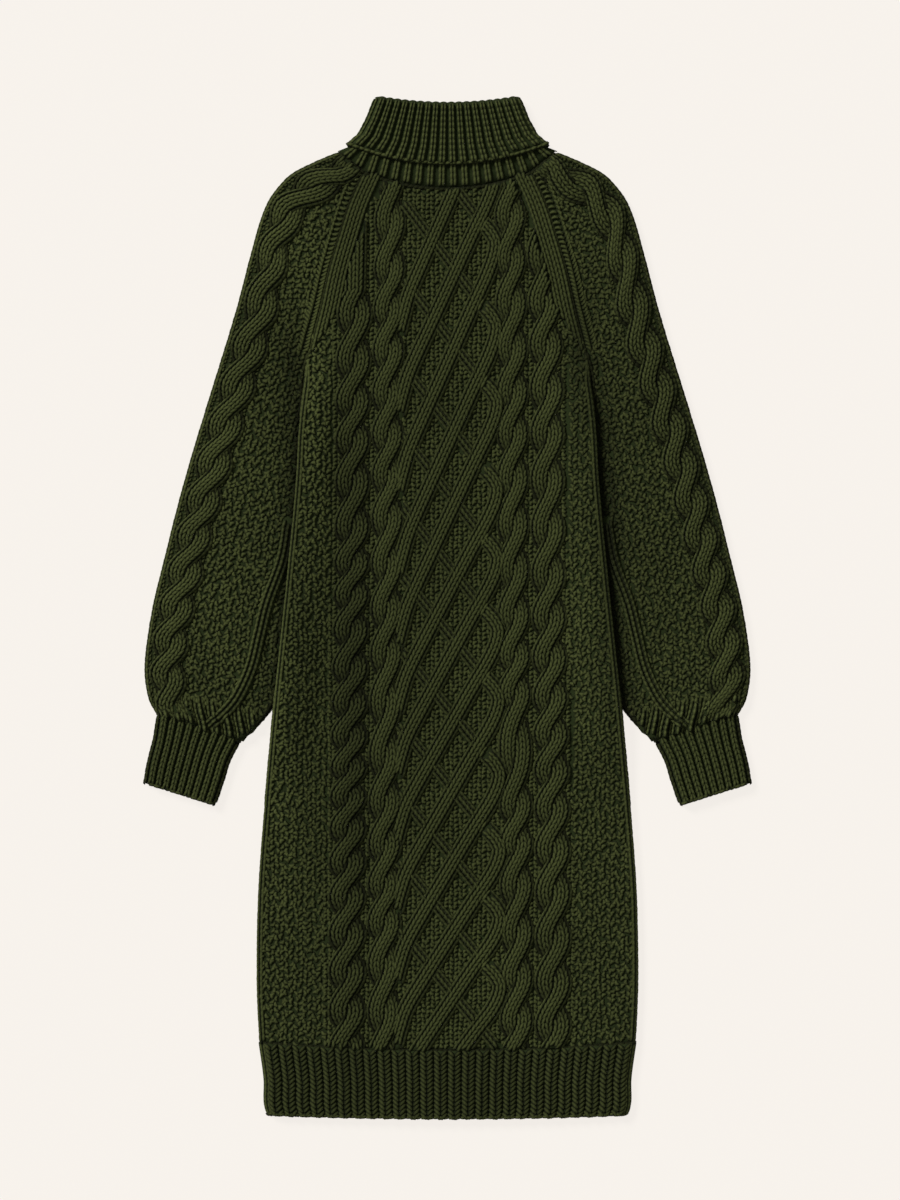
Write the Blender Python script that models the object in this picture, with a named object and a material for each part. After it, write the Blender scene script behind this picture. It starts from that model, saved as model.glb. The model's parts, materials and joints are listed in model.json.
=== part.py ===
"""A cable-knit roll-neck sweater dress, laid flat on its back.

The dress is nine knitted pieces: a front and a back panel, a hem rib on each, two raglan
bishop sleeves, two cuffs and a roll neck that is turned over. Every piece is a wall of
thick cloth. Its inner side is plain, and the cables, ribs and gathers are raised in the
points of its outer side.

Units are metres. +X is towards the wearer's left, +Y runs from the hem to the neck, and
+Z is up from the surface that the dress lies on. The origin is on that surface,
under the middle of the dress.
"""

import math
from collections import namedtuple

import bmesh
import bpy
import numpy as np

# ------------------------------------------------------------------ driving sizes

CLOTH = 0.0040  # wall of the plain knit
RIB_CLOTH = 0.0032  # wall of the ribbed pieces, without their ribs
LAYER_GAP = 0.0008  # between the two layers of a flat tube, at its edges
SEAM_GAP = 0.0006  # between two pieces along a seam
BODY_CROWN = 0.0022  # how far the front stands off the back in the middle
SLEEVE_CROWN = 0.0024
CABLE_RISE = 0.0046
LATTICE_RISE = 0.0034
RIB_RISE = 0.0016
GATHER_RISE = 0.0022
RAGLAN_RISE = 0.0014

BACK_MID = CLOTH / 2  # height of the middle of the lower layer's wall
FRONT_MID = CLOTH * 1.5 + LAYER_GAP  # and of the upper layer's wall
FOLD = (FRONT_MID - BACK_MID) / 2  # radius of the wall's middle where a tube folds flat
OVER_SLEEVE = 2 * CLOTH + LAYER_GAP + 0.0011  # lift of the body's edge over a sleeve

NECK_Y = 0.5196  # where a raglan seam meets the neckline
NECK_DIP = 0.0198  # the front neckline's depth below that
BACK_NECK_RISE = 0.0084
UNDERARM_Y = 0.3024
HEM_SEAM_Y = -0.5220
HEM_SEAM_DIP = 0.0090
HEM_Y = -0.6080
HEM_DIP = 0.0039

Level = namedtuple("Level", "y half_width")
BODY_EDGE = [  # the panels' outline, from the hem seam up to the neckline
    Level(-0.522, 0.2250),
    Level(-0.470, 0.2276),
    Level(-0.410, 0.2280),
    Level(-0.350, 0.2266),
    Level(-0.234, 0.2184),
    Level(-0.116, 0.2074),
    Level(0.046, 0.1906),
    Level(0.154, 0.1805),
    Level(0.217, 0.1768),
    Level(0.262, 0.1716),
    Level(0.302, 0.1652),
    Level(0.358, 0.1516),
    Level(0.401, 0.1422),
    Level(0.444, 0.1298),
    Level(0.482, 0.1176),
    Level(0.520, 0.1008),
]
HEM_EDGE = [
    Level(-0.6080, 0.2150),
    Level(-0.6020, 0.2172),
    Level(-0.5660, 0.2190),
    Level(-0.5220, 0.2250),
]

# One row for each section of a sleeve. The section runs from its inner edge, which is given
# by how far it is tucked under the body's edge (or clear of it, below zero), to its outer one.
Section = namedtuple("Section", "inner_y tuck outer_x outer_y")
SLEEVE = [
    Section(0.5196, -0.0009, 0.1310, 0.5440),
    Section(0.4848, -0.0009, 0.1632, 0.5304),
    Section(0.4464, -0.0009, 0.1920, 0.5136),
    Section(0.4056, -0.0009, 0.2172, 0.4788),
    Section(0.3588, -0.0009, 0.2352, 0.4200),
    Section(0.3276, -0.0009, 0.2484, 0.3696),
    Section(0.3024, -0.0009, 0.2592, 0.3324),
    Section(0.2790, -0.0016, 0.2664, 0.3090),
    Section(0.2556, 0.0010, 0.2736, 0.2856),
    Section(0.2016, 0.0062, 0.2904, 0.2316),
    Section(0.1416, 0.0070, 0.3078, 0.1740),
    Section(0.0816, 0.0072, 0.3240, 0.1152),
    Section(0.0216, 0.0072, 0.3384, 0.0576),
    Section(-0.0384, 0.0066, 0.3528, -0.0024),
    Section(-0.0924, 0.0052, 0.3612, -0.0588),
    Section(-0.1176, -0.0004, 0.3612, -0.0876),
    Section(-0.1368, -0.0130, 0.3570, -0.1092),
    Section(-0.1512, -0.0260, 0.3510, -0.1212),
    Section(-0.1608, -0.0372, 0.3474, -0.1272),
]

# A cuff's sections, from the sleeve seam to its open end.
CuffSection = namedtuple("CuffSection", "inner_x inner_y outer_x outer_y")
CUFF = [
    CuffSection(0.2487, -0.1608, 0.3474, -0.1272),
    CuffSection(0.2610, -0.1850, 0.3520, -0.1570),
    CuffSection(0.2690, -0.2100, 0.3590, -0.1850),
    CuffSection(0.2784, -0.2374, 0.3636, -0.2106),
]
CUFF_RIBS = 9

# Rope cables of the front: where each starts and ends across the dress, and at some heights
# how many crossings lie below, since the knitting is not quite even.
Turns = namedtuple("Turns", "y crossings")
Rope = namedtuple("Rope", "left right turns")
ROPES = [
    Rope(
        -0.1422,
        -0.0978,
        [
            Turns(-0.5460, -0.9),
            Turns(-0.5058, 0),
            Turns(-0.4134, 2),
            Turns(-0.3258, 4),
            Turns(-0.2454, 6),
            Turns(-0.1734, 8),
            Turns(-0.0942, 10),
            Turns(-0.0054, 12),
            Turns(0.0738, 14),
            Turns(0.1758, 16),
            Turns(0.2706, 18),
            Turns(0.3786, 20),
        ],
    ),
    Rope(
        -0.0954,
        -0.0558,
        [
            Turns(-0.5460, -0.6),
            Turns(-0.5130, 0),
            Turns(-0.4014, 2),
            Turns(-0.3078, 4),
            Turns(-0.2058, 6),
            Turns(-0.0834, 8),
            Turns(0.0246, 10),
            Turns(0.1326, 12),
            Turns(0.2310, 14),
            Turns(0.3318, 16),
            Turns(0.4062, 17.5),
            Turns(0.5200, 19.5),
        ],
    ),
    Rope(
        0.0630,
        0.1026,
        [
            Turns(-0.5460, -0.6),
            Turns(-0.5178, 0),
            Turns(-0.4158, 2),
            Turns(-0.3066, 4),
            Turns(-0.2094, 6),
            Turns(-0.1290, 7),
            Turns(-0.0342, 9),
            Turns(0.0726, 11),
            Turns(0.1818, 13),
            Turns(0.2838, 15),
            Turns(0.3906, 17),
            Turns(0.5200, 19.5),
        ],
    ),
    Rope(
        0.1050,
        0.1480,
        [
            Turns(-0.5460, -0.5),
            Turns(-0.5238, 0),
            Turns(-0.4218, 2),
            Turns(-0.3150, 4),
            Turns(-0.2178, 6),
            Turns(-0.1302, 8),
            Turns(-0.0366, 10),
            Turns(0.0666, 12),
            Turns(0.1806, 14),
            Turns(0.2874, 16),
            Turns(0.3918, 18),
            Turns(0.4500, 19),
        ],
    ),
]

# The slanting strands between the ropes: the height of each where it starts on the left and
# where it turns back on the right.
LATTICE_LEFT = -0.0560
LATTICE_RIGHT = 0.0625
LATTICE_TURN = 0.0240  # height of that turn
UNDER_SLOPE = 1.20  # rise over run of a strand on its way back, under the others
STRAND_HALF = 0.0086
UNDER_HALF = 0.0062
Slant = namedtuple("Slant", "left_y right_y")
SLANTS = [
    Slant(0.3636, 0.6072),
    Slant(0.2676, 0.5040),
    Slant(0.1728, 0.4212),
    Slant(0.0744, 0.3216),
    Slant(-0.0096, 0.2304),
    Slant(-0.0900, 0.1272),
    Slant(-0.1656, 0.0444),
    Slant(-0.2460, -0.0420),
    Slant(-0.3276, -0.1236),
    Slant(-0.4116, -0.2136),
    Slant(-0.4884, -0.3036),
    Slant(-0.5616, -0.3852),
    Slant(-0.6336, -0.4668),
    Slant(-0.7056, -0.5484),
]
CABLE_ZONE = 0.1500  # half width of the front's middle, which holds the cables
EDGE_ZONE = 0.0240  # least width of the plain strip beside it, or of the raglan band
ROW_STEP = 0.0119

SLEEVE_CABLE = 0.0430  # width of a sleeve's cable
SLEEVE_PITCH = 0.0470
SLEEVE_ROWS = 52
PUFF_LENGTH = 0.060  # how far the cuff's gathers reach up the sleeve

# The roll neck. Its rings are given by their half width at the side and by the heights, up
# the dress, of the front and back lines in the middle and at the side.
Ring = namedtuple("Ring", "half_width side_y front_y back_y")
STAND = [  # from the neck seam up to the turn
    Ring(0.1200, 0.5500, 0.5302, 0.5430),
    Ring(0.0960, 0.5700, 0.5520, 0.5600),
    Ring(0.0838, 0.6086, 0.6016, 0.6016),
]
TURNED = [  # from the turn down to the loose edge
    Ring(0.0872, 0.6086, 0.6016, 0.6016),
    Ring(0.0975, 0.5830, 0.5760, 0.5800),
    Ring(0.1068, 0.5660, 0.5520, 0.5600),
    Ring(0.1215, 0.5530, 0.5304, 0.5460),
]
NECK_SIDE_X = 0.1314
NECK_SIDE_Y = 0.5448
COLLAR_RIBS = 18
TURN_STEPS = 3
HEM_RIBS = 26

YARN = (0.022, 0.027, 0.009, 1.0)


# ------------------------------------------------------------------ small helpers


def through(rows, at):
    """A smooth curve through (position, value) rows, read at one position or several."""
    xs, ys = np.array(rows, float).T
    slopes = np.gradient(ys, xs)
    at = np.asarray(at, float)
    i = np.clip(np.searchsorted(xs, at) - 1, 0, len(xs) - 2)
    step = xs[i + 1] - xs[i]
    t = np.clip((at - xs[i]) / step, 0, 1)
    rise = (1 + 2 * t) * (1 - t) ** 2 * ys[i] + t * t * (3 - 2 * t) * ys[i + 1]
    return rise + step * t * (1 - t) * ((1 - t) * slopes[i] - t * slopes[i + 1])


def ease(value, start, end):
    """0 before start, 1 after end, and smooth between them."""
    t = min(1.0, max(0.0, (value - start) / (end - start)))
    return t * t * (3 - 2 * t)


def dome(r):
    """The height of a round top: 1 in the middle, 0 from |r| = 1 on."""
    return math.sqrt(max(0.0, 1 - r * r))


def quarter(share):
    """(sine, cosine) of that share of a quarter turn."""
    return math.sin(share * math.pi / 2), math.cos(share * math.pi / 2)


# ------------------------------------------------------------------ the cloth as a mesh


def add_strip(bm, first, second):
    """Triangles between two lines of vertices that may have unlike counts."""

    def shares(line):
        steps = [(b.co - a.co).length for a, b in zip(line, line[1:])]
        total = np.cumsum([0.0] + steps)
        return total / total[-1]

    first_at, second_at = shares(first), shares(second)
    i = j = 0
    while i < len(first) - 1 or j < len(second) - 1:
        next_first = first_at[i + 1] if i < len(first) - 1 else 2.0
        next_second = second_at[j + 1] if j < len(second) - 1 else 2.0
        if next_first <= next_second:
            bm.faces.new((first[i], first[i + 1], second[j]))
            i += 1
        else:
            bm.faces.new((first[i], second[j + 1], second[j]))
            j += 1


def add_grid(bm, points, closed):
    """Vertices for rows of points, with faces between each row and the next. Quads are cut
    along the lean of the cables. Returns the rows of vertices."""
    grid = [[bm.verts.new(point) for point in row] for row in points]
    if closed:
        for row in grid:
            row.append(row[0])
    for lower, upper in zip(grid, grid[1:]):
        if len(lower) != len(upper):
            add_strip(bm, lower, upper)
            continue
        for c in range(len(lower) - 1):
            bm.faces.new((lower[c], lower[c + 1], upper[c + 1]))
            bm.faces.new((lower[c], upper[c + 1], upper[c]))
    return grid


def add_side(bm, patches, closed):
    """One side of a wall, from patches of points that stand side by side. Returns its two
    end lines and its two edge lines of vertices."""
    grids = [add_grid(bm, points, closed) for points in patches]
    for near, far in zip(grids, grids[1:]):
        add_strip(bm, [row[-1] for row in near], [row[0] for row in far])
    ends = [[vert for grid in grids for vert in grid[end]] for end in (0, -1)]
    edges = [[row[0] for row in grids[0]], [row[-1] for row in grids[-1]]]
    return ends, edges


def add_wall(name, outer, inner, closed=False):
    """A closed wall between two sides, each a list of patches of points. The corners of
    the sides match, and their counts need not. A closed one is a tube: its columns meet."""
    bm = bmesh.new()
    outer_ends, outer_edges = add_side(bm, outer, closed)
    inner_ends, inner_edges = add_side(bm, inner, closed)
    for first, second in zip(outer_ends, inner_ends):
        add_strip(bm, first, second)
    if not closed:
        for first, second in zip(outer_edges, inner_edges):
            add_strip(bm, first, second)
    bmesh.ops.recalc_face_normals(bm, faces=bm.faces)
    mesh = bpy.data.meshes.new(name)
    bm.to_mesh(mesh)
    bm.free()
    mesh.shade_smooth()
    mesh.set_sharp_from_angle(angle=math.radians(60))
    mesh.materials.append(bpy.data.materials["wool_knit"])
    node = bpy.data.objects.new(name, mesh)
    bpy.data.collections["sweater_dress"].objects.link(node)
    return node


# ------------------------------------------------------------------ what is raised


def rope_rise(across, along, lean=1.0):
    """The height of a two-strand rope cable, 0 to 1. across runs from -1 to 1 over its
    width, along counts crossings, and the upper strand leans to +across when lean is 1."""
    best = 0.0
    for strand in (0, 1):
        turn = math.pi * (along + 0.5 + strand)
        r = (across + 0.46 * lean * math.cos(turn)) / 0.56
        if abs(r) < 1:
            best = max(best, 0.62 * dome(r) + 0.38 * math.sin(turn))
    return best * ease(1.08 - abs(across), 0.0, 0.12)


def lattice_rise(x, y):
    """The height of the slanting strands in the front's middle, 0 to 1."""
    from_edge = min(x - LATTICE_LEFT, LATTICE_RIGHT - x)
    best = 0.0
    for slant in SLANTS:
        slope = (slant.right_y - slant.left_y) / (LATTICE_RIGHT - LATTICE_LEFT)
        off = (y - slant.left_y - slope * (x - LATTICE_LEFT)) / math.hypot(1, slope)
        best = max(best, dome(off / STRAND_HALF))
        back = slant.right_y + LATTICE_TURN + UNDER_SLOPE * (LATTICE_RIGHT - x)
        off = (y - back) / math.hypot(1, UNDER_SLOPE)
        best = max(best, 0.55 * dome(off / UNDER_HALF))
    return best * ease(from_edge, -0.001, 0.003)


def spread(y):
    """How far the cables stand apart at a height: they close up a little to the neck."""
    return 1.0 - 0.055 * ease(y, -0.40, 0.20) - 0.04 * ease(y, 0.20, 0.50)


def front_rise(x, y, half_width):
    """How far the front's outer side stands proud of the plain knit."""
    from_edge = half_width - abs(x)
    raglan = ease(y, UNDERARM_Y - 0.02, UNDERARM_Y + 0.02)
    keep = ease(from_edge, 0.021 * raglan + 0.004, 0.027 * raglan + 0.008)
    true_x = x / spread(y)
    rise = LATTICE_RISE * lattice_rise(true_x, y)
    for rope in ROPES:
        across = (2 * true_x - rope.left - rope.right) / (rope.right - rope.left)
        if abs(across) < 1.08:
            rise = CABLE_RISE * rope_rise(across, float(through(rope.turns, y)))
    band = RAGLAN_RISE * raglan * (0.5 - 0.5 * math.cos(from_edge * math.tau / 0.0096))
    return rise * keep + (band if from_edge < 0.0205 else 0.0)


def rib_rise(column):
    """Ribs have three points each: one in the furrow and two on the rib."""
    return RIB_RISE if column % 3 else 0.0


# ------------------------------------------------------------------ the body


def body_half(y):
    """Half the width of the body panels at a height."""
    return float(through(BODY_EDGE if y >= HEM_SEAM_Y else HEM_EDGE, y))


def folded(y):
    """1 where front and back meet at a folded side, 0 where the sleeve is set in."""
    return 1.0 - ease(y, UNDERARM_Y - 0.040, UNDERARM_Y)


def lift(x, y, half_width):
    """How far the body rises from the floor where its edge lies on a sleeve."""
    along = ease(y, -0.235, -0.104) * (1 - ease(y, 0.228, 0.310))
    return OVER_SLEEVE * along * ease(half_width - abs(x), 0.062, 0.010)


def crown(x, y, half_width):
    """How far the front stands off the back, over its gap at the edges."""
    inward = 1 - (x / half_width) ** 2
    return BODY_CROWN * inward * inward * (1 - ease(y, 0.38, NECK_Y))


def body_point(column, y_row, bend, upper):
    """(place, normal, half width) of the middle of a body panel's wall. column is
    (side, zone, edge, fold): its shares of the cable zone, the plain strip and the fold."""
    side, zone, edge, fold = column
    drop = folded(y_row)
    half = body_half(y_row) - drop * CLOTH / 2
    flat = half - FOLD
    middle = min(CABLE_ZONE * spread(y_row), flat - EDGE_ZONE)
    x = side * (middle * zone + (flat - middle) * edge + FOLD * quarter(fold)[0])
    y = y_row + bend * (1 - (x / half) ** 2)
    raised = lift(x, y_row, half)
    height = FRONT_MID + crown(x, y_row, half) if upper else BACK_MID
    way = 1 if upper else -1
    turn_sine, turn_cosine = quarter(fold * drop)
    fall = (FOLD - SEAM_GAP / 4) * (1 - turn_cosine)
    place = np.array((x, y, height + raised - way * fall))
    return place, np.array((side * turn_sine, 0, way * turn_cosine)), half


def body_columns(zone_columns, edge_shares, folds):
    """The columns of a body panel: its middle at those shares, and its two edges."""
    outside = [(1, fold) for fold in folds] + [(share, 0) for share in reversed(edge_shares)]
    left = [(-1, 1.0, share, fold) for share, fold in outside]
    middle = [(math.copysign(1, zone), abs(zone), 0, 0) for zone in zone_columns]
    right = [(1, 1.0, share, fold) for share, fold in reversed(outside)]
    return left + middle + right


def body_side(columns, rows, upper, outwards, rise=None):
    """A grid of points on one side of a body panel's wall."""
    grid = []
    for y_row, bend in rows:
        line = []
        for index, column in enumerate(columns):
            place, normal, half = body_point(column, y_row, bend, upper)
            off = outwards * CLOTH / 2
            if rise is not None:
                off += rise(place[0], place[1], half, index)
            line.append(place + normal * off)
        grid.append(line)
    return grid


def panel_rows(neck_bend):
    """(height, bend) for each close row of a panel, and for the rows of its plain side,
    which stand closer where the edge is raised or slants."""
    low, high = HEM_SEAM_Y + SEAM_GAP / 2, NECK_Y
    heights = np.linspace(low, high, round((high - low) / ROW_STEP) + 1)
    reach = 0.150
    close = [
        (
            y,
            neck_bend * (1 - ease(high - y, 0, reach))
            - HEM_SEAM_DIP * (1 - ease(y - low, 0, reach)),
        )
        for y in heights
    ]
    last = len(close) - 1
    spaced = [
        row
        for index, row in enumerate(close)
        if index in (0, last)
        or (index % 2 == 0 and (-0.25 < row[0] < -0.10 or 0.19 < row[0] < 0.32))
        or (index % 3 == 0 and 0.32 < row[0] and index < last - 1)
        or (index % 6 == 0 and index < last - 2)
    ]
    return close, spaced


def add_body():
    grooves = [
        ROPES[0].left,
        (ROPES[0].right + ROPES[1].left) / 2,
        (ROPES[1].right + LATTICE_LEFT) / 2,
        (ROPES[2].left + LATTICE_RIGHT) / 2,
        (ROPES[2].right + ROPES[3].left) / 2,
        ROPES[3].right,
    ]
    marks = [grooves[0]]
    for start, end, steps in zip(grooves, grooves[1:], (5, 5, 14, 5, 5)):
        marks += list(np.linspace(start, end, steps + 1))[1:]
    zone = [mark / CABLE_ZONE for mark in marks]
    side = [(1, 1.0), (1, 0.5)]
    cables = body_columns(zone, (0.35, 0.7), (0.0,))
    left_fold = [(-1, 1.0, share, fold) for share, fold in side]
    right_fold = [(1, 1.0, share, fold) for share, fold in reversed(side)]
    middle = np.linspace(-0.8, 0.8, 5)
    hollow = body_columns(middle, (0.0, 0.6), (1.0, 0.0))
    floor = body_columns(middle, (0.0, 0.6), (1.0, 0.5, 0.0))
    close, spaced = panel_rows(-NECK_DIP)
    _, back_spaced = panel_rows(BACK_NECK_RISE)

    def relief(x, y, half, _):
        return front_rise(x, y, half)

    add_wall(
        "front",
        [
            body_side(left_fold, spaced, True, 1),
            body_side(cables, close, True, 1, relief),
            body_side(right_fold, spaced, True, 1),
        ],
        [body_side(hollow, spaced, True, -1)],
    )
    add_wall(
        "back",
        [body_side(floor, back_spaced, False, 1)],
        [body_side(hollow, back_spaced, False, -1)],
    )


def add_hem():
    count = 3 * HEM_RIBS
    across = np.linspace(-1, 1, count + 1)
    ribs = [(-1, 1.0, 1.0, fold) for fold in (1.0, 0.5)]
    ribs += [(math.copysign(1, share), abs(share), abs(share), 0) for share in across]
    ribs += [(1, 1.0, 1.0, fold) for fold in (0.5, 1.0)]
    first_rib = 2
    middle = np.linspace(-0.8, 0.8, 5)
    hollow = body_columns(middle, (0.0, 0.6), (1.0, 0.0))
    floor = body_columns(middle, (0.0, 0.6), (1.0, 0.5, 0.0))
    rows = []
    for share in (0.0, 0.07, 0.5, 1.0):
        y = HEM_Y + share * (HEM_SEAM_Y - SEAM_GAP / 2 - HEM_Y)
        rows.append((y, -HEM_DIP + share * (HEM_DIP - HEM_SEAM_DIP)))

    def relief(_x, _y, _half, index):
        within = index - first_rib
        return rib_rise(within) if 0 <= within <= count else 0.0

    add_wall(
        "hem_front",
        [body_side(ribs, rows, True, 1, relief)],
        [body_side(hollow, rows, True, -1)],
    )
    add_wall(
        "hem_back",
        [body_side(floor, rows, False, 1)],
        [body_side(hollow, rows, False, -1)],
    )


# ------------------------------------------------------------------ the sleeves


FINE = ((1.0, 0.5, 0.0), 4)  # shares of the inner fold, and steps round the outer one
PLAIN = ((1.0, 0.0), 2)


def section_ring(inner, outer, wall, low_mid, high_mid, drop, tops, bottoms, rises, detail):
    """A flat tube's section between two points in plan, as (places, normals, rises). tops
    and bottoms are the shares of its flat part where its layers have points. It is open at
    its inner edge, where drop says how far the two layers come down to meet."""
    folds, turns = detail
    inner, outer = np.array(inner), np.array(outer)
    length = np.linalg.norm(outer - inner) - wall / 2 * (1 + drop)
    way = (outer - inner) / np.linalg.norm(outer - inner)
    start = inner + way * (drop * wall / 2)
    radius = (high_mid - low_mid) / 2
    centre = (high_mid + low_mid) / 2
    flat = length - 2 * radius
    points, normals, rise = [], [], []

    def add(along, height, out, up, raised=0.0):
        points.append((*(start + way * along), height))
        normals.append((*(way * out), up))
        rise.append(raised)

    def add_inner_fold(upper, shares):
        turn = 1 if upper else -1
        for share in shares:
            tilt_sine, tilt_cosine = quarter(share * drop)
            fall = (radius - SEAM_GAP / 2) * (1 - tilt_cosine)
            add(
                radius * (1 - quarter(share)[0]),
                centre + turn * (radius - fall),
                -tilt_sine,
                turn * tilt_cosine,
            )

    add_inner_fold(True, folds)
    for share, (loft, raised) in zip(tops, rises):
        add(radius + flat * share, high_mid + loft, 0, 1, raised)
    for step in range(turns + 1):
        angle = math.pi * step / turns
        add(
            radius + flat + radius * math.sin(angle),
            centre + radius * math.cos(angle),
            math.sin(angle),
            math.cos(angle),
        )
    for share in reversed(bottoms):
        add(radius + flat * share, low_mid, 0, -1)
    add_inner_fold(False, folds[::-1])
    return np.array(points), np.array(normals), np.array(rise)


def sleeve_section(share):
    """(inner point, outer point, drop) at a share of the sleeve's length."""
    at = [index / (len(SLEEVE) - 1) for index in range(len(SLEEVE))]
    inner_y, tuck, outer_x, outer_y = (
        float(through(list(zip(at, column)), share)) for column in zip(*SLEEVE)
    )
    inner_x = body_half(inner_y) - tuck
    return (inner_x, inner_y), (outer_x, outer_y), folded(inner_y)


def sleeve_length():
    """(shares, lengths): how far down its middle a sleeve's sections are."""
    shares = np.linspace(0, 1, 200)
    middles = []
    for share in shares:
        inner, outer, _ = sleeve_section(share)
        middles.append([(inner[0] + outer[0]) / 2, (inner[1] + outer[1]) / 2])
    steps = np.linalg.norm(np.diff(middles, axis=0), axis=1)
    return shares, np.concatenate([[0], np.cumsum(steps)])


def sleeve_rises(tops, inner, outer, along, total, lean):
    """(loft, rise) of the sleeve's upper layer at those shares of its width."""
    width = math.dist(inner, outer)
    loft = SLEEVE_CROWN * ease(along, 0.05, 0.25) * (1 - ease(along, total - 0.02, total))
    gather = GATHER_RISE * ease(along, total - PUFF_LENGTH, total - 0.012)
    cable = min(SLEEVE_CABLE, 0.9 * width)
    found = []
    for index, share in enumerate(tops):
        from_outer = (1 - share) * width
        across = 1 - 2 * from_outer / cable
        rise = 0.0
        if across > -1.08:
            rise = CABLE_RISE * rope_rise(across, along / SLEEVE_PITCH - 0.5, lean)
            rise *= ease(share, 0.999, 0.97)
        rise *= 1 - ease(along, total - 0.03, total)
        found.append((loft * math.sin(math.pi * share), rise + gather * (index % 2)))
    return found


def sleeve_grid(rows, tops, side, outwards, detail, raised=False):
    """A grid of points on one side of a sleeve's wall. side is 1 on +X.
    tops below zero are shares of the plain part, from -1 at the inner edge, and the others
    are shares of the cable."""
    shares, lengths = sleeve_length()
    total = lengths[-1]
    grid = []
    for along in rows:
        inner, outer, drop = sleeve_section(float(np.interp(along, lengths, shares)))
        width = math.dist(inner, outer)
        cable = min(SLEEVE_CABLE, 0.9 * width) / width
        at = [
            (1 + share) * (1 - cable) if share < 0 else 1 - cable * (1 - share)
            for share in tops
        ]
        rises = sleeve_rises(at, inner, outer, along, total, side)
        layers = (CLOTH, BACK_MID, FRONT_MID, drop)
        places, normals, rise = section_ring(
            inner, outer, *layers, at, (0.25, 0.75), rises, detail
        )
        off = outwards * CLOTH / 2 + (rise if raised else 0.0)
        points = places + normals * np.reshape(off, (-1, 1))
        points[:, 0] *= side
        grid.append(points)
    return grid


def add_sleeves():
    total = sleeve_length()[1][-1]
    close = np.linspace(0, total - SEAM_GAP, SLEEVE_ROWS)
    spaced = close[::3]
    tops = [-0.8, -0.6, -0.35, 0.0, 0.2, 0.4, 0.6, 0.8]
    under = 4  # columns of the lower layer, after the turn
    for name, side in (("sleeve_right", -1), ("sleeve_left", 1)):
        upper = [row[:-under] for row in sleeve_grid(close, tops, side, 1, FINE, True)]
        lower = [row[-under:] for row in sleeve_grid(spaced, tops, side, 1, FINE, True)]
        plain = sleeve_grid(spaced, [-0.6, 0.0, 0.6], side, -1, PLAIN)
        add_wall(name, [upper, lower], [plain])


def cuff_grid(side, ribs, outwards, detail):
    """A grid of points on one side of a cuff's wall, as a closed tube."""
    at = np.linspace(0, 1, len(CUFF))
    tops = np.linspace(0, 1, 3 * ribs + 1)[1:-1]
    rises = [(0.0, rib_rise(index + 1)) for index in range(len(tops))]
    grid = []
    for share in at:
        inner_x, inner_y, outer_x, outer_y = (
            float(through(list(zip(at, column)), share)) for column in zip(*CUFF)
        )
        layers = (RIB_CLOTH, RIB_CLOTH / 2, FRONT_MID, 1.0)
        ends = ((inner_x, inner_y), (outer_x, outer_y))
        places, normals, rise = section_ring(
            *ends, *layers, tops, (0.33, 0.67), rises, detail
        )
        off = outwards * RIB_CLOTH / 2 + (rise if outwards > 0 else 0.0)
        points = (places + normals * np.reshape(off, (-1, 1)))[:-1]
        points[:, 0] *= side
        grid.append(points)
    return grid


def add_cuffs():
    for name, side in (("cuff_right", -1), ("cuff_left", 1)):
        ribbed = cuff_grid(side, CUFF_RIBS, 1, FINE)
        add_wall(name, [ribbed], [cuff_grid(side, 1, -1, PLAIN)], closed=True)


# ------------------------------------------------------------------ the roll neck


def neckline_y(x):
    """The height of the front neckline, and of the sleeves' top ends beside it."""
    corner = body_half(NECK_Y)
    if abs(x) < corner:
        return NECK_Y - NECK_DIP * (1 - (x / corner) ** 2)
    share = (abs(x) - corner) / (NECK_SIDE_X - corner)
    return NECK_Y + (NECK_SIDE_Y - NECK_Y) * share


def back_neckline_y(x):
    corner = body_half(NECK_Y)
    if abs(x) < corner:
        return NECK_Y + BACK_NECK_RISE * (1 - (x / corner) ** 2)
    return neckline_y(x)


def collar_ring(half, front_y, back_y, low_mid, high_mid, columns, back_columns):
    """A ring of the collar's wall at its middle. front_y and back_y give the height of its
    two lines at a share of the width, -1 to 1."""
    radius = (high_mid - low_mid) / 2
    centre = (high_mid + low_mid) / 2
    flat = half - radius
    ring = [(share * flat, front_y(share), high_mid) for share in columns]
    for step in (1, 2, 3):
        angle = math.pi * step / 4
        y = front_y(1) + (back_y(1) - front_y(1)) * step / 4
        ring.append((flat + radius * math.sin(angle), y, centre + radius * math.cos(angle)))
    ring += [(share * flat, back_y(share), low_mid) for share in reversed(back_columns)]
    for step in (3, 2, 1):
        angle = math.pi * step / 4
        y = front_y(-1) + (back_y(-1) - front_y(-1)) * step / 4
        ring.append(
            (-flat - radius * math.sin(angle), y, centre + radius * math.cos(angle))
        )
    return ring


def bowed(side_y, middle_y):
    """A line that is at side_y at both ends and at middle_y between them."""
    return lambda share: middle_y + (side_y - middle_y) * share * share


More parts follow.
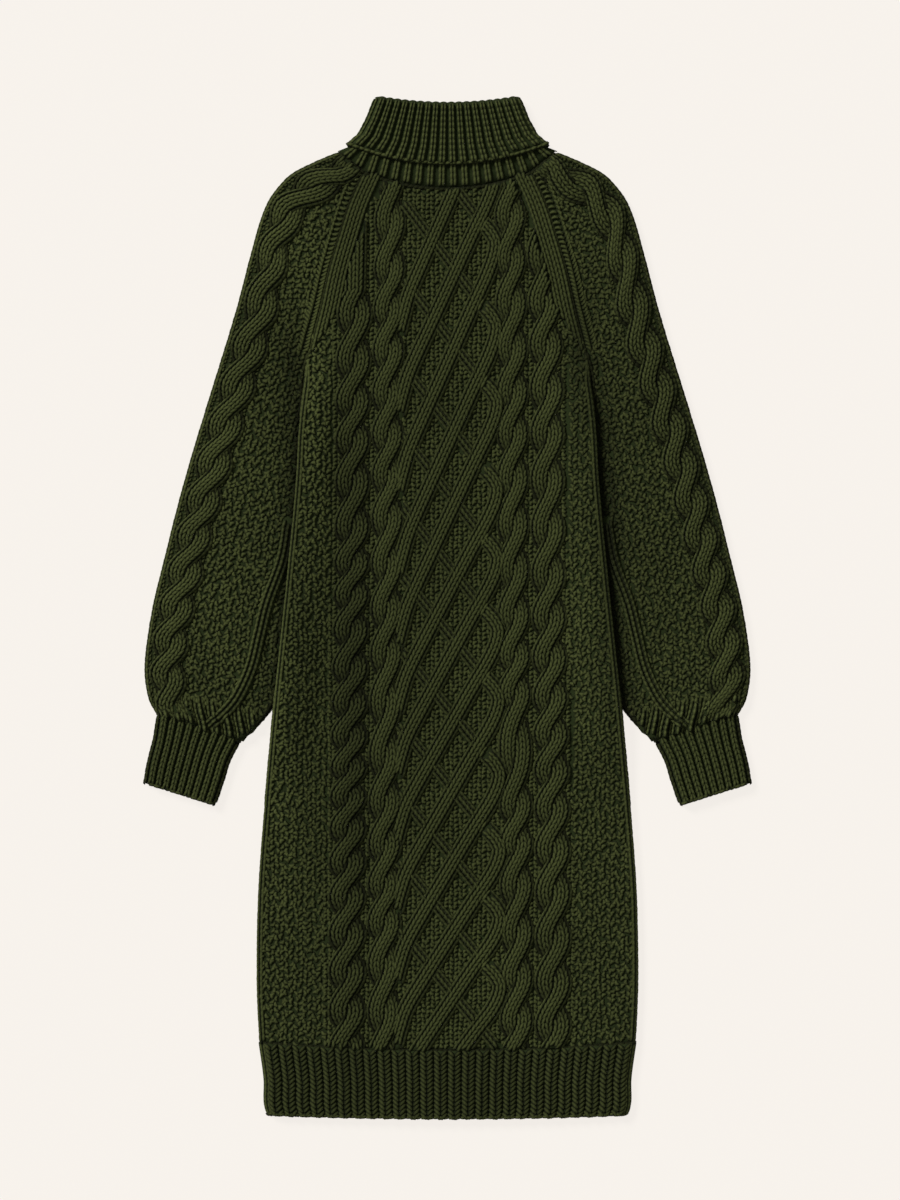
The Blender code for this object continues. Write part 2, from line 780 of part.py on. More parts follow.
def collar_levels():
    """(half width, front line, back line, lower and upper heights) for each ring."""
    layer = RIB_CLOTH + 0.0003
    outer_low = RIB_CLOTH / 2
    inner_low = outer_low + layer
    inner_high = inner_low + layer
    outer_high = inner_high + layer
    seam = SEAM_GAP + 0.0002

    def front_seam(share):
        return neckline_y(share * NECK_SIDE_X) + seam

    def back_seam(share):
        return back_neckline_y(share * NECK_SIDE_X) + 2 * seam

    levels = [(NECK_SIDE_X, front_seam, back_seam, BACK_MID, FRONT_MID)]
    for ring in STAND:
        front = bowed(ring.side_y, ring.front_y)
        back = bowed(ring.side_y, ring.back_y)
        levels.append((ring.half_width, front, back, inner_low, inner_high))
    turn = layer / 2
    top = STAND[-1]
    for step in range(1, TURN_STEPS + 1):
        angle = math.pi * step / (TURN_STEPS + 1)
        reach = turn * math.sin(angle)
        shift = turn * (1 - math.cos(angle))
        front = bowed(top.side_y + reach, top.front_y + reach)
        back = bowed(top.side_y + reach, top.back_y + reach)
        widened = top.half_width + (TURNED[0].half_width - top.half_width) * shift / layer
        levels.append((widened, front, back, inner_low - shift, inner_high + shift))
    for ring in TURNED:
        front = bowed(ring.side_y, ring.front_y)
        back = bowed(ring.side_y, ring.back_y)
        levels.append((ring.half_width, front, back, outer_low, outer_high))
    return levels


def ring_normals(rings):
    """Unit normals of a tube's middle surface, away from the tube at its first ring."""
    rings = np.array(rings)
    along = np.gradient(rings, axis=0)
    around = (np.roll(rings, -1, axis=1) - np.roll(rings, 1, axis=1)) / 2
    normals = np.cross(around, along)
    return normals / np.linalg.norm(normals, axis=2, keepdims=True)


def add_collar():
    ribbed = np.linspace(-1, 1, 3 * COLLAR_RIBS + 1)
    plain = np.linspace(-1, 1, 13)
    corner = body_half(NECK_Y) / NECK_SIDE_X
    back_columns = (-1, -corner, -0.4, 0, 0.4, corner, 1)
    levels = collar_levels()
    shown_stand = 2  # rings of the stand that the turned part leaves in sight
    turned = len(levels) - len(TURNED) - 1
    sides = []
    for face in (True, False):
        close, spaced = (
            [collar_ring(*level, columns, back_columns) for level in levels]
            for columns in (ribbed, plain)
        )
        grid = []
        for index in range(len(levels)):
            ribs = index < shown_stand if face else index >= turned
            rings = close if ribs else spaced
            normal = ring_normals(rings)[index]
            rise = np.zeros(len(normal))
            if ribs:
                inside = range(1, len(ribbed) - 1)
                rise[1 : len(ribbed) - 1] = [rib_rise(column) for column in inside]
            off = (RIB_CLOTH / 2 + rise) * (1 if face else -1)
            grid.append(np.array(rings[index]) + normal * off[:, None])
        sides.append([grid])
    add_wall("collar", *sides, closed=True)


# ------------------------------------------------------------------ build


def clear_scene():
    for old in list(bpy.data.objects):
        bpy.data.objects.remove(old, do_unlink=True)


def add_material():
    wool = bpy.data.materials.new("wool_knit")
    wool.use_nodes = True
    shader = wool.node_tree.nodes["Principled BSDF"]
    shader.inputs["Base Color"].default_value = YARN
    shader.inputs["Roughness"].default_value = 0.92
    shader.inputs["Metallic"].default_value = 0.0
    wool.diffuse_color = YARN


def main():
    clear_scene()
    dress = bpy.data.collections.new("sweater_dress")
    bpy.context.scene.collection.children.link(dress)
    add_material()
    add_body()
    add_hem()
    add_sleeves()
    add_cuffs()
    add_collar()


main()
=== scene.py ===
# %% [markdown]
# # A cable-knit roll-neck dress, laid flat
# A hand-knitted dress is yarn in loops, and the eye reads two scales in it: the bold relief of
# ropes, slanting strands and ribs, and over it thousands of plump legs of yarn. Bump maps would
# give neither its shadows, so both are shapes here. Each knitted piece is a closed shell of
# cloth that carries the relief, and Geometry Nodes lay the legs of the stitches on it.
# Everything is in metres: +X is the wearer's left, +Y runs from the hem to the neck, +Z is up.

# %% Load the solids as the fixed frame
import json
import math
from collections import namedtuple

import bmesh
import bpy
import mathutils
import numpy as np
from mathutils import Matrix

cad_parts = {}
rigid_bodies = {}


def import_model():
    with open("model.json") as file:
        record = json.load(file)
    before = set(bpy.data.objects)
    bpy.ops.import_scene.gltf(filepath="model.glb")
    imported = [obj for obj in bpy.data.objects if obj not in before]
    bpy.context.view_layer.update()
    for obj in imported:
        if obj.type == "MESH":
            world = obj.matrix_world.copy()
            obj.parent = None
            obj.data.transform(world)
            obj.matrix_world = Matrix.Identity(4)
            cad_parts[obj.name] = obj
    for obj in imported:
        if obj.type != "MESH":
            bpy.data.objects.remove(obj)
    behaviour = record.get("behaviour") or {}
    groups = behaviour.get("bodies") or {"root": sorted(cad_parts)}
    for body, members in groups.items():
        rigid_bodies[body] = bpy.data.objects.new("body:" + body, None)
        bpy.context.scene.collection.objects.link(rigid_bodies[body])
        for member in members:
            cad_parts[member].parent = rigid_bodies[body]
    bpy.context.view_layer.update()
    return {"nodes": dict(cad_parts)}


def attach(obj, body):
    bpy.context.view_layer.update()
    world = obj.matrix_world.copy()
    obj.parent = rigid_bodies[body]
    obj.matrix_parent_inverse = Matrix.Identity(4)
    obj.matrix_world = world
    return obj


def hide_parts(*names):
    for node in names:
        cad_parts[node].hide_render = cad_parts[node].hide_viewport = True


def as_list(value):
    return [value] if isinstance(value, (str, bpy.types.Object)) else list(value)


for left_over in list(bpy.data.objects):
    bpy.data.objects.remove(left_over)
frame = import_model()
print("solids:", sorted(frame["nodes"]))

# %% [markdown]
# ## The dress's sizes
# A knitter works from a schematic: a drawing with the width of each piece at a few heights. The
# short tables below are that schematic, the same one that the solids were made from, so that the
# shells fit them without any fitting. A smooth curve runs through the rows of each table.

# %% Cloth and layers
CLOTH = 0.0040  # wall of the plain knit
RIB_CLOTH = 0.0032  # wall of the ribbed pieces, without their ribs
LAYER_GAP = 0.0008
SEAM_GAP = 0.0006
BODY_CROWN = 0.0022
SLEEVE_CROWN = 0.0024
BACK_MID = CLOTH / 2  # height of the middle of the lower layer's wall
FRONT_MID = CLOTH * 1.5 + LAYER_GAP  # and of the upper layer's wall
FOLD = (FRONT_MID - BACK_MID) / 2  # radius of the wall's middle where a tube folds flat
FOLD_CENTRE = (FRONT_MID + BACK_MID) / 2
SKIN = FOLD + CLOTH / 2  # the same radius at the outer side
OVER_SLEEVE = 2 * CLOTH + LAYER_GAP + 0.0011  # lift of the body's edge over a sleeve

# %% The schematic
NECK_Y = 0.5196
NECK_DIP = 0.0198
BACK_NECK_RISE = 0.0084
UNDERARM_Y = 0.3024
HEM_SEAM_Y = -0.5220
HEM_SEAM_DIP = 0.0090
HEM_Y = -0.6080
HEM_DIP = 0.0039

Level = namedtuple("Level", "y half_width")
BODY_EDGE = [
    Level(-0.522, 0.2250),
    Level(-0.470, 0.2276),
    Level(-0.410, 0.2280),
    Level(-0.350, 0.2266),
    Level(-0.234, 0.2184),
    Level(-0.116, 0.2074),
    Level(0.046, 0.1906),
    Level(0.154, 0.1805),
    Level(0.217, 0.1768),
    Level(0.262, 0.1716),
    Level(0.302, 0.1652),
    Level(0.358, 0.1516),
    Level(0.401, 0.1422),
    Level(0.444, 0.1298),
    Level(0.482, 0.1176),
    Level(0.520, 0.1008),
]
HEM_EDGE = [
    Level(-0.6080, 0.2150),
    Level(-0.6020, 0.2172),
    Level(-0.5660, 0.2190),
    Level(-0.5220, 0.2250),
]
Section = namedtuple("Section", "inner_y tuck outer_x outer_y")
SLEEVE = [  # tuck is how far the inner edge lies under the body's edge
    Section(0.5196, -0.0009, 0.1310, 0.5440),
    Section(0.4848, -0.0009, 0.1632, 0.5304),
    Section(0.4464, -0.0009, 0.1920, 0.5136),
    Section(0.4056, -0.0009, 0.2172, 0.4788),
    Section(0.3588, -0.0009, 0.2352, 0.4200),
    Section(0.3276, -0.0009, 0.2484, 0.3696),
    Section(0.3024, -0.0009, 0.2592, 0.3324),
    Section(0.2790, -0.0016, 0.2664, 0.3090),
    Section(0.2556, 0.0010, 0.2736, 0.2856),
    Section(0.2016, 0.0062, 0.2904, 0.2316),
    Section(0.1416, 0.0070, 0.3078, 0.1740),
    Section(0.0816, 0.0072, 0.3240, 0.1152),
    Section(0.0216, 0.0072, 0.3384, 0.0576),
    Section(-0.0384, 0.0066, 0.3528, -0.0024),
    Section(-0.0924, 0.0052, 0.3612, -0.0588),
    Section(-0.1176, -0.0004, 0.3612, -0.0876),
    Section(-0.1368, -0.0130, 0.3570, -0.1092),
    Section(-0.1512, -0.0260, 0.3510, -0.1212),
    Section(-0.1608, -0.0372, 0.3474, -0.1272),
]
CuffSection = namedtuple("CuffSection", "inner_x inner_y outer_x outer_y")
CUFF = [
    CuffSection(0.2487, -0.1608, 0.3474, -0.1272),
    CuffSection(0.2610, -0.1850, 0.3520, -0.1570),
    CuffSection(0.2690, -0.2100, 0.3590, -0.1850),
    CuffSection(0.2784, -0.2374, 0.3636, -0.2106),
]
print("schematic:", len(BODY_EDGE), "body rows,", len(SLEEVE), "sleeve sections")


# %% Curves through the tables
def through(rows, at):
    """A smooth curve through (position, value) rows, read at many positions."""
    xs, ys = np.array(rows, float).T
    slopes = np.gradient(ys, xs)
    at = np.asarray(at, float)
    i = np.clip(np.searchsorted(xs, at) - 1, 0, len(xs) - 2)
    step = xs[i + 1] - xs[i]
    t = np.clip((at - xs[i]) / step, 0, 1)
    rise = (1 + 2 * t) * (1 - t) ** 2 * ys[i] + t * t * (3 - 2 * t) * ys[i + 1]
    return rise + step * t * (1 - t) * ((1 - t) * slopes[i] - t * slopes[i + 1])


def ease(value, start, end):
    """0 before start, 1 after end, and smooth between them."""
    t = np.clip((value - start) / (end - start), 0, 1)
    return t * t * (3 - 2 * t)


def dome(r):
    """The height of a round top: 1 in the middle, 0 from |r| = 1 on."""
    return np.sqrt(np.clip(1 - r * r, 0, None))


def body_half(y):
    """Half the width of the body at a height, hem included."""
    return np.where(y >= HEM_SEAM_Y, through(BODY_EDGE, y), through(HEM_EDGE, y))


def folded(y):
    """1 where front and back meet at a folded side, 0 where the sleeve is set in."""
    return 1 - ease(y, UNDERARM_Y - 0.040, UNDERARM_Y)


print("chest width:", round(2 * float(body_half(0.30)) * 1000), "mm")

# %% [markdown]
# ## Surfaces to knit on
# Every shell and every stitch asks the same question: where is the point that lies this far
# across the cloth, this far along it and this far proud of it? One function per piece answers it
# for thousands of points at once. Distances across are measured along the skin, so a pattern
# runs round a folded edge without stretching.


# %% The body panels
def row_bend(row, upper):
    """How far the middle of a row of stitches lies above its ends."""
    neck = -NECK_DIP if upper else BACK_NECK_RISE
    panel = neck * (1 - ease(NECK_Y - row, 0, 0.150))
    panel -= HEM_SEAM_DIP * (1 - ease(row - HEM_SEAM_Y, 0, 0.150))
    share = (row - HEM_Y) / (HEM_SEAM_Y - HEM_Y)
    return np.where(row >= HEM_SEAM_Y, panel, share * (HEM_DIP - HEM_SEAM_DIP) - HEM_DIP)


def row_of(s, y, upper):
    """The row of stitches that passes through a place on the body."""
    row = y + 0 * s
    for _ in range(5):
        bow = 1 - np.minimum(1, np.abs(s) / body_half(row)) ** 2
        row = y - row_bend(row, upper) * bow
    return row


def place_of(s, row, upper):
    """The height up the dress of a row of stitches, at that distance from the middle."""
    return row + row_bend(row, upper) * (1 - np.minimum(1, np.abs(s) / body_half(row)) ** 2)


def edge_lift(x, row, half):
    """How far the body rises where its edge lies on a sleeve."""
    along = ease(row, -0.235, -0.104) * (1 - ease(row, 0.228, 0.310))
    return OVER_SLEEVE * along * ease(half - np.abs(x), 0.062, 0.010)


def body_at(s, y, h, upper=True):
    """Places on the body: s across it along the skin, y up it, h proud of its outer side."""
    row = row_of(s, y, upper)
    drop = folded(row)
    half = body_half(row) - drop * CLOTH / 2
    flat = half - FOLD
    skin = FOLD + drop * (SKIN * math.pi / 2 - FOLD)
    share = np.clip((np.abs(s) - flat) / skin, 0, 1) * math.pi / 2
    side = np.where(s < 0, -1.0, 1.0)
    x = side * (np.minimum(np.abs(s), flat) + FOLD * np.sin(share))
    fall = (FOLD - SEAM_GAP / 4) * (1 - np.cos(share * drop))
    lift = edge_lift(x, row, half)
    inward = 1 - (x / half) ** 2
    crown = BODY_CROWN * inward * inward * (1 - ease(row, 0.38, NECK_Y))
    way = 1 if upper else -1
    middle = FRONT_MID + crown - fall if upper else BACK_MID + fall
    off = CLOTH / 2 + h
    across = x + side * np.sin(share * drop) * off
    return np.stack([across, y + 0 * s, middle + lift + way * np.cos(share * drop) * off], -1)


def back_at(s, y, h):
    return body_at(s, y, h, upper=False)


print("side fold at the chest:", np.round(body_at(np.array([0.17]), np.array([0.25]), 0.0), 4))


# %% The sleeves
def sleeve_lines():
    """The sections' ends, read closely, with how far down the sleeve's middle they are."""
    at = np.linspace(0, 1, len(SLEEVE))
    shares = np.linspace(0, 1, 400)
    inner_y, tuck, outer_x, outer_y = (
        through(list(zip(at, column)), shares) for column in zip(*SLEEVE)
    )
    inner_x = body_half(inner_y) - tuck
    middle = np.stack([inner_x + outer_x, inner_y + outer_y], -1) / 2
    steps = np.linalg.norm(np.diff(middle, axis=0), axis=1)
    down = np.concatenate([[0], np.cumsum(steps)])
    return down, (inner_x, inner_y, outer_x, outer_y)


SLEEVE_DOWN, SLEEVE_ENDS = sleeve_lines()
SLEEVE_LENGTH = SLEEVE_DOWN[-1]


def sleeve_flat(down):
    """Width of the flat part of one layer of the sleeve, that far down it."""
    ix, iy, ox, oy = (np.interp(down, SLEEVE_DOWN, line) for line in SLEEVE_ENDS)
    return np.hypot(ox - ix, oy - iy) - CLOTH / 2 * (1 + folded(iy)) - 2 * FOLD


def sleeve_at(side):
    """The surface function of a sleeve: t is the distance in from the outer fold on the
    upper layer, below zero round that fold to the lower one; down is along the sleeve."""

    def at(t, down, h):
        ix, iy, ox, oy = (np.interp(down, SLEEVE_DOWN, line) for line in SLEEVE_ENDS)
        width = np.hypot(ox - ix, oy - iy)
        wx, wy = (ox - ix) / width, (oy - iy) / width
        drop = folded(iy)
        flat = width - CLOTH / 2 * (1 + drop) - 2 * FOLD
        under = t < -math.pi * SKIN
        inward = np.where(under, -t - math.pi * SKIN, t)
        layer = np.where(under, -1.0, 1.0)
        skin = FOLD + drop * (SKIN * math.pi / 2 - FOLD)
        share = np.clip((inward - flat) / skin, 0, 1) * math.pi / 2
        fall = (FOLD - SEAM_GAP / 2) * (1 - np.cos(share * drop))
        loft = SLEEVE_CROWN * ease(down, 0.05, 0.25)
        loft = loft * (1 - ease(down, SLEEVE_LENGTH - 0.02, SLEEVE_LENGTH))
        loft = loft * np.sin(math.pi * np.clip(inward / flat, 0, 1)) * ~under
        along = FOLD + flat - np.clip(inward, 0, flat) - FOLD * np.sin(share)
        height = FOLD_CENTRE + layer * (FOLD - fall) + loft
        out, up = -np.sin(share * drop), layer * np.cos(share * drop)
        round_it = (t < 0) & ~under
        angle = -t / SKIN
        along = np.where(round_it, FOLD + flat + FOLD * np.sin(angle), along)
        height = np.where(round_it, FOLD_CENTRE + FOLD * np.cos(angle), height)
        out = np.where(round_it, np.sin(angle), out)
        up = np.where(round_it, np.cos(angle), up)
        off = CLOTH / 2 + h
        reach = drop * CLOTH / 2 + along + out * off
        x, y = ix + wx * reach, iy + wy * reach
        return np.stack([side * x, y, height + up * off], -1)

    return at


print("sleeve:", round(SLEEVE_LENGTH * 1000), "mm down its middle")


# %% The cuffs
def cuff_at(side):
    """The surface function of a cuff. c runs round it: 0 to 1 over the upper layer from the
    inner edge, then to 2 round the outer edge, to 3 underneath and to 4 round the inner."""

    def at(c, share, h):
        marks = np.linspace(0, 1, len(CUFF))
        ix, iy, ox, oy = (through(list(zip(marks, line)), share) for line in zip(*CUFF))
        width = np.hypot(ox - ix, oy - iy)
        wx, wy = (ox - ix) / width, (oy - iy) / width
        low = RIB_CLOTH / 2
        radius = (FRONT_MID - low) / 2
        flat = width - RIB_CLOTH - 2 * radius
        c = np.mod(c, 4)
        quarter, part = np.floor(c), np.mod(c, 1)
        angle = np.select([quarter < 1, quarter < 2, quarter < 3], [0, part, 1], 1 + part)
        angle = angle * math.pi
        level = np.select([quarter < 1, quarter < 2, quarter < 3], [part, 1, 1 - part], 0)
        off = RIB_CLOTH / 2 + h
        reach = RIB_CLOTH / 2 + radius + flat * level + (radius + off) * np.sin(angle)
        height = (FRONT_MID + low) / 2 + (radius + off) * np.cos(angle)
        return np.stack([side * (ix + wx * reach), iy + wy * reach, height], -1)

    return at


# %% The roll neck
Ring = namedtuple("Ring", "half_width side_y front_y back_y")
STAND = [
    Ring(0.1200, 0.5500, 0.5302, 0.5430),
    Ring(0.0960, 0.5700, 0.5520, 0.5600),
    Ring(0.0838, 0.6086, 0.6016, 0.6016),
]
TURNED = [
    Ring(0.0872, 0.6086, 0.6016, 0.6016),
    Ring(0.0975, 0.5830, 0.5760, 0.5800),
    Ring(0.1068, 0.5660, 0.5520, 0.5600),
    Ring(0.1215, 0.5530, 0.5304, 0.5460),
]
NECK_SIDE_X = 0.1314
NECK_SIDE_Y = 0.5448
COLLAR_LAYER = RIB_CLOTH + 0.0003
TURN_STEPS = 3


def neckline(share, upper):
    """The neck seam's height at a share, -1 to 1, of its width."""
    x = share * NECK_SIDE_X
    corner = float(body_half(NECK_Y))
    bow = -NECK_DIP if upper else BACK_NECK_RISE
    inside = NECK_Y + bow * (1 - np.minimum(1, (x / corner) ** 2))
    outside = NECK_Y + (NECK_SIDE_Y - NECK_Y) * (np.abs(x) - corner) / (NECK_SIDE_X - corner)
    return np.where(np.abs(x) < corner, inside, outside)


def collar_lines(share):
    """For each ring of the collar: half width, front line, back line, low and high heights."""
    seam = SEAM_GAP + 0.0002
    outer_low = RIB_CLOTH / 2
    inner_low = outer_low + COLLAR_LAYER
    inner_high = inner_low + COLLAR_LAYER
    first = (neckline(share, True) + seam, neckline(share, False) + 2 * seam)
    lines = [(NECK_SIDE_X, *first, BACK_MID, FRONT_MID)]

    def bowed(ring, reach=0.0):
        front = ring.front_y + (ring.side_y - ring.front_y) * share**2 + reach
        return front, ring.back_y + (ring.side_y - ring.back_y) * share**2 + reach

    for ring in STAND:
        lines.append((ring.half_width, *bowed(ring), inner_low, inner_high))
    for step in range(1, TURN_STEPS + 1):
        angle = math.pi * step / (TURN_STEPS + 1)
        shift = COLLAR_LAYER / 2 * (1 - math.cos(angle))
        wider = (TURNED[0].half_width - STAND[-1].half_width) * shift / COLLAR_LAYER
        front, back = bowed(STAND[-1], COLLAR_LAYER / 2 * math.sin(angle))
        half = STAND[-1].half_width + wider
        lines.append((half, front, back, inner_low - shift, inner_high + shift))
    for ring in TURNED:
        highest = inner_high + COLLAR_LAYER
        lines.append((ring.half_width, *bowed(ring), outer_low, highest))
    return lines


COLLAR_RINGS = 1 + len(STAND) + TURN_STEPS + len(TURNED)
FIRST_TURNED = COLLAR_RINGS - len(TURNED)


def collar_middle(c, v):
    """The middle of the collar's wall. c runs round it as on a cuff, from the wearer's right
    over the front; v counts the rings, from the neck seam to the loose edge."""
    c = np.mod(c, 4)
    quarter, part = np.floor(c), np.mod(c, 1)
    share = np.select([quarter < 1, quarter < 2, quarter < 3], [2 * part - 1, 1, 1 - 2 * part], -1)
    turn = np.select([quarter < 1, quarter < 2, quarter < 3], [0, part, 1], 1 + part)
    rings = []
    for half, front, back, low, high in collar_lines(share):
        radius = (high - low) / 2
        blend = (1 - np.cos(turn * math.pi)) / 2
        x = share * (half - radius) + radius * np.sin(turn * math.pi)
        y = front + (back - front) * blend
        rings.append(np.stack([x, y, (high + low) / 2 + radius * np.cos(turn * math.pi)], -1))
    rings = np.array(rings)
    i = np.clip(np.floor(v).astype(int), 0, COLLAR_RINGS - 2)
    t = np.clip(v - i, 0, 1)[..., None]

    def ring(number):
        return np.take_along_axis(rings, np.clip(number, 0, COLLAR_RINGS - 1)[None, ..., None], 0)[0]

    near, far = ring(i), ring(i + 1)
    return near + (far - near) * t


def collar_at(c, v, h):
    """Places on the collar: h is proud of the side that is outside on the stand, and
    below -RIB_CLOTH it is proud of the side that is outside once the neck is turned."""
    c, v = np.broadcast_arrays(np.asarray(c, float), np.clip(v, 0.0, COLLAR_RINGS - 1.0))
    around = collar_middle(c + 0.004, v) - collar_middle(c - 0.004, v)
    along = collar_middle(c, v + 0.2) - collar_middle(c, v - 0.2)
    normal = np.cross(around, along)
    normal /= np.linalg.norm(normal, axis=-1, keepdims=True)
    return collar_middle(c, v) + normal * (RIB_CLOTH / 2 + np.asarray(h) + 0 * c)[..., None]


print("collar rings:", COLLAR_RINGS, "and the turned part starts at", FIRST_TURNED)

# %% [markdown]
# ## The charts
# A cable is knitted by taking half of its stitches across the other half every few rows, so
# each of its two strands swings from side to side and is on top while it leans to one side.
# That is a cosine for the swing and a sine for the height. The slanting strands of the middle
# follow lines of their own, one row of a table each, turn back at the right-hand rope and go
# down again under the others. All of it is written as heights over the plain cloth.

# %% Rope cables
CABLE_RISE = 0.0050
SWAY = 0.46  # how far a strand's middle swings, as a share of the rope's half width
STRAND = 0.56  # half a strand's width, as a share of the same
# At some heights, how many crossings lie below: the knitting is not quite even.
Turns = namedtuple("Turns", "y crossings")
Rope = namedtuple("Rope", "left right turns")
ROPES = [
    Rope(
        -0.1422,
        -0.0978,
        [
            Turns(-0.5460, -0.9),
            Turns(-0.5058, 0),
            Turns(-0.4134, 2),
            Turns(-0.3258, 4),
            Turns(-0.2454, 6),
            Turns(-0.1734, 8),
            Turns(-0.0942, 10),
            Turns(-0.0054, 12),
            Turns(0.0738, 14),
            Turns(0.1758, 16),
            Turns(0.2706, 18),
            Turns(0.3786, 20),
        ],
    ),
    Rope(
        -0.0954,
        -0.0558,
        [
            Turns(-0.5460, -0.6),
            Turns(-0.5130, 0),
            Turns(-0.4014, 2),
            Turns(-0.3078, 4),
            Turns(-0.2058, 6),
            Turns(-0.0834, 8),
            Turns(0.0246, 10),
            Turns(0.1326, 12),
            Turns(0.2310, 14),
            Turns(0.3318, 16),
            Turns(0.4062, 17.5),
            Turns(0.5200, 19.5),
        ],
    ),
    Rope(
        0.0630,
        0.1026,
        [
            Turns(-0.5460, -0.6),
            Turns(-0.5178, 0),
            Turns(-0.4158, 2),
            Turns(-0.3066, 4),
            Turns(-0.2094, 6),
            Turns(-0.1290, 7),
            Turns(-0.0342, 9),
            Turns(0.0726, 11),
            Turns(0.1818, 13),
            Turns(0.2838, 15),
            Turns(0.3906, 17),
            Turns(0.5200, 19.5),
        ],
    ),
    Rope(
        0.1050,
        0.1480,
        [
            Turns(-0.5460, -0.5),
            Turns(-0.5238, 0),
            Turns(-0.4218, 2),
            Turns(-0.3150, 4),
            Turns(-0.2178, 6),
            Turns(-0.1302, 8),
            Turns(-0.0366, 10),
            Turns(0.0666, 12),
            Turns(0.1806, 14),
            Turns(0.2874, 16),
            Turns(0.3918, 18),
            Turns(0.4500, 19),
        ],
    ),
]


def strand_rise(across, turn):
    """One strand's height, 0 to 1. across runs from -1 to 1 over the rope."""
    return dome((across + SWAY * np.cos(turn)) / STRAND) * (0.60 + 0.40 * np.sin(turn))


def rope_rise(across, turn):
    return np.maximum(strand_rise(across, turn), strand_rise(across, turn + math.pi))


def spread(y):
    """How far the cables stand apart: they close up a little to the neck."""
    return 1.0 - 0.055 * ease(y, -0.40, 0.20) - 0.04 * ease(y, 0.20, 0.50)


def rope_across(rope, s, y):
    return (2 * s / spread(y) - rope.left - rope.right) / (rope.right - rope.left)


def rope_place(rope, across, y):
    return spread(y) * (rope.left + rope.right + across * (rope.right - rope.left)) / 2


def rope_turn(rope, y):
    return math.pi * (through(rope.turns, y) + 0.5)


# %% Slanting strands of the middle
LATTICE_RISE = 0.0036
UNDER_RISE = 0.0022
STRAND_HALF = 0.0094
UNDER_HALF = 0.0074
LATTICE_LEFT = -0.0560
LATTICE_RIGHT = 0.0625
UNDER_SLOPE = 1.20
Slant = namedtuple("Slant", "left_y right_y")
SLANTS = [
    Slant(0.3636, 0.6072),
    Slant(0.2676, 0.5040),
    Slant(0.1728, 0.4212),
    Slant(0.0744, 0.3216),
    Slant(-0.0096, 0.2304),
    Slant(-0.0900, 0.1272),
    Slant(-0.1656, 0.0444),
    Slant(-0.2460, -0.0420),
    Slant(-0.3276, -0.1236),
    Slant(-0.4116, -0.2136),
    Slant(-0.4884, -0.3036),
    Slant(-0.5616, -0.3852),
    Slant(-0.6336, -0.4668),
]


def over_line(slant):
    """A strand's line on top, from under the left rope to its turn at the right one."""
    width, climb = LATTICE_RIGHT - LATTICE_LEFT, slant.right_y - slant.left_y
    marks = [  # (share of the width, share of the climb, and a rise beyond it)
        (-0.05, 0.00, -0.034),
        (0.00, 0.01, -0.014),
        (0.08, 0.08, -0.002),
        (0.30, 0.30, 0.000),
        (0.70, 0.70, 0.000),
        (0.93, 0.93, -0.002),
        (1.01, 1.00, 0.010),
        (0.97, 1.00, 0.025),
        (0.88, 1.00, 0.037),
    ]
    at = np.linspace(0, len(marks) - 1, 49)
    xs = [LATTICE_LEFT + width * mark[0] for mark in marks]
    ys = [slant.left_y + climb * mark[1] + mark[2] for mark in marks]
    return through(list(enumerate(xs)), at), through(list(enumerate(ys)), at)


def under_line(slant):
    """The same strand on its way back, under the others."""
    start_x = LATTICE_LEFT + 0.96 * (LATTICE_RIGHT - LATTICE_LEFT)
    share = np.linspace(0, 1, 13)
    run = share * (start_x - LATTICE_LEFT)
    return start_x - run, slant.right_y + 0.024 + UNDER_SLOPE * run


OVER = [over_line(slant) for slant in SLANTS]
LOWEST = Slant(-0.7056, -0.5484)
UNDER = [under_line(slant) for slant in SLANTS + [LOWEST]]


def off_line(x, y, line):
    """The distance of many places from one line, and 1 where they are far from it."""
    xs, ys = line
    found = np.ones(np.shape(x))
    near = (y > ys.min() - 0.02) & (y < ys.max() + 0.02)
    px, py = x[near][:, None], y[near][:, None]
    ax, ay, bx, by = xs[:-1], ys[:-1], np.diff(xs), np.diff(ys)
    t = np.clip(((px - ax) * bx + (py - ay) * by) / (bx * bx + by * by), 0, 1)
    found[near] = np.hypot(px - ax - t * bx, py - ay - t * by).min(axis=1)
    return found


def lines_rise(s, y, lines, half, rise):
    s, y = np.broadcast_arrays(np.asarray(s, float), np.asarray(y, float))
    x, flat_y = (s / spread(y)).ravel(), y.ravel()
    best = np.zeros(x.shape)
    for line in lines:
        best = np.maximum(best, rise * dome(off_line(x, flat_y, line) / half))
    return best.reshape(s.shape)


def over_rise(s, y):
    return lines_rise(s, y, OVER, STRAND_HALF, LATTICE_RISE)


def under_rise(s, y):
    return lines_rise(s, y, UNDER, UNDER_HALF, UNDER_RISE)


# %% The whole front
RAGLAN_BAND = 0.0225  # five columns of legs along each raglan seam
RAGLAN_RISE = 0.0012


def from_edge(s, y):
    return body_half(row_of(s, y, True)) - np.abs(s)


def band_width(y):
    return RAGLAN_BAND * ease(y, 0.295, 0.375)


def in_middle(s, y):
    """1 between the second and the third rope, whose inner edges cover the strands' ends."""
    x = s / spread(y)
    left, right = ROPES[1].right, ROPES[2].left
    return ease(x, left - 0.0090, left - 0.0050) * ease(x, right + 0.0090, right + 0.0050)


def front_rise(s, y):
    """How far the front's outer side stands proud of the plain knit."""
    inward = from_edge(s, y) - band_width(y)
    rise = np.maximum(over_rise(s, y), under_rise(s, y))
    rise = rise * in_middle(s, y)
    for rope in ROPES:
        across = rope_across(rope, s, y)
        rise = np.maximum(rise, CABLE_RISE * rope_rise(across, rope_turn(rope, y)))
    return rise * ease(inward, 0.0, 0.004) + RAGLAN_RISE * ease(-inward, 0.0, 0.002)


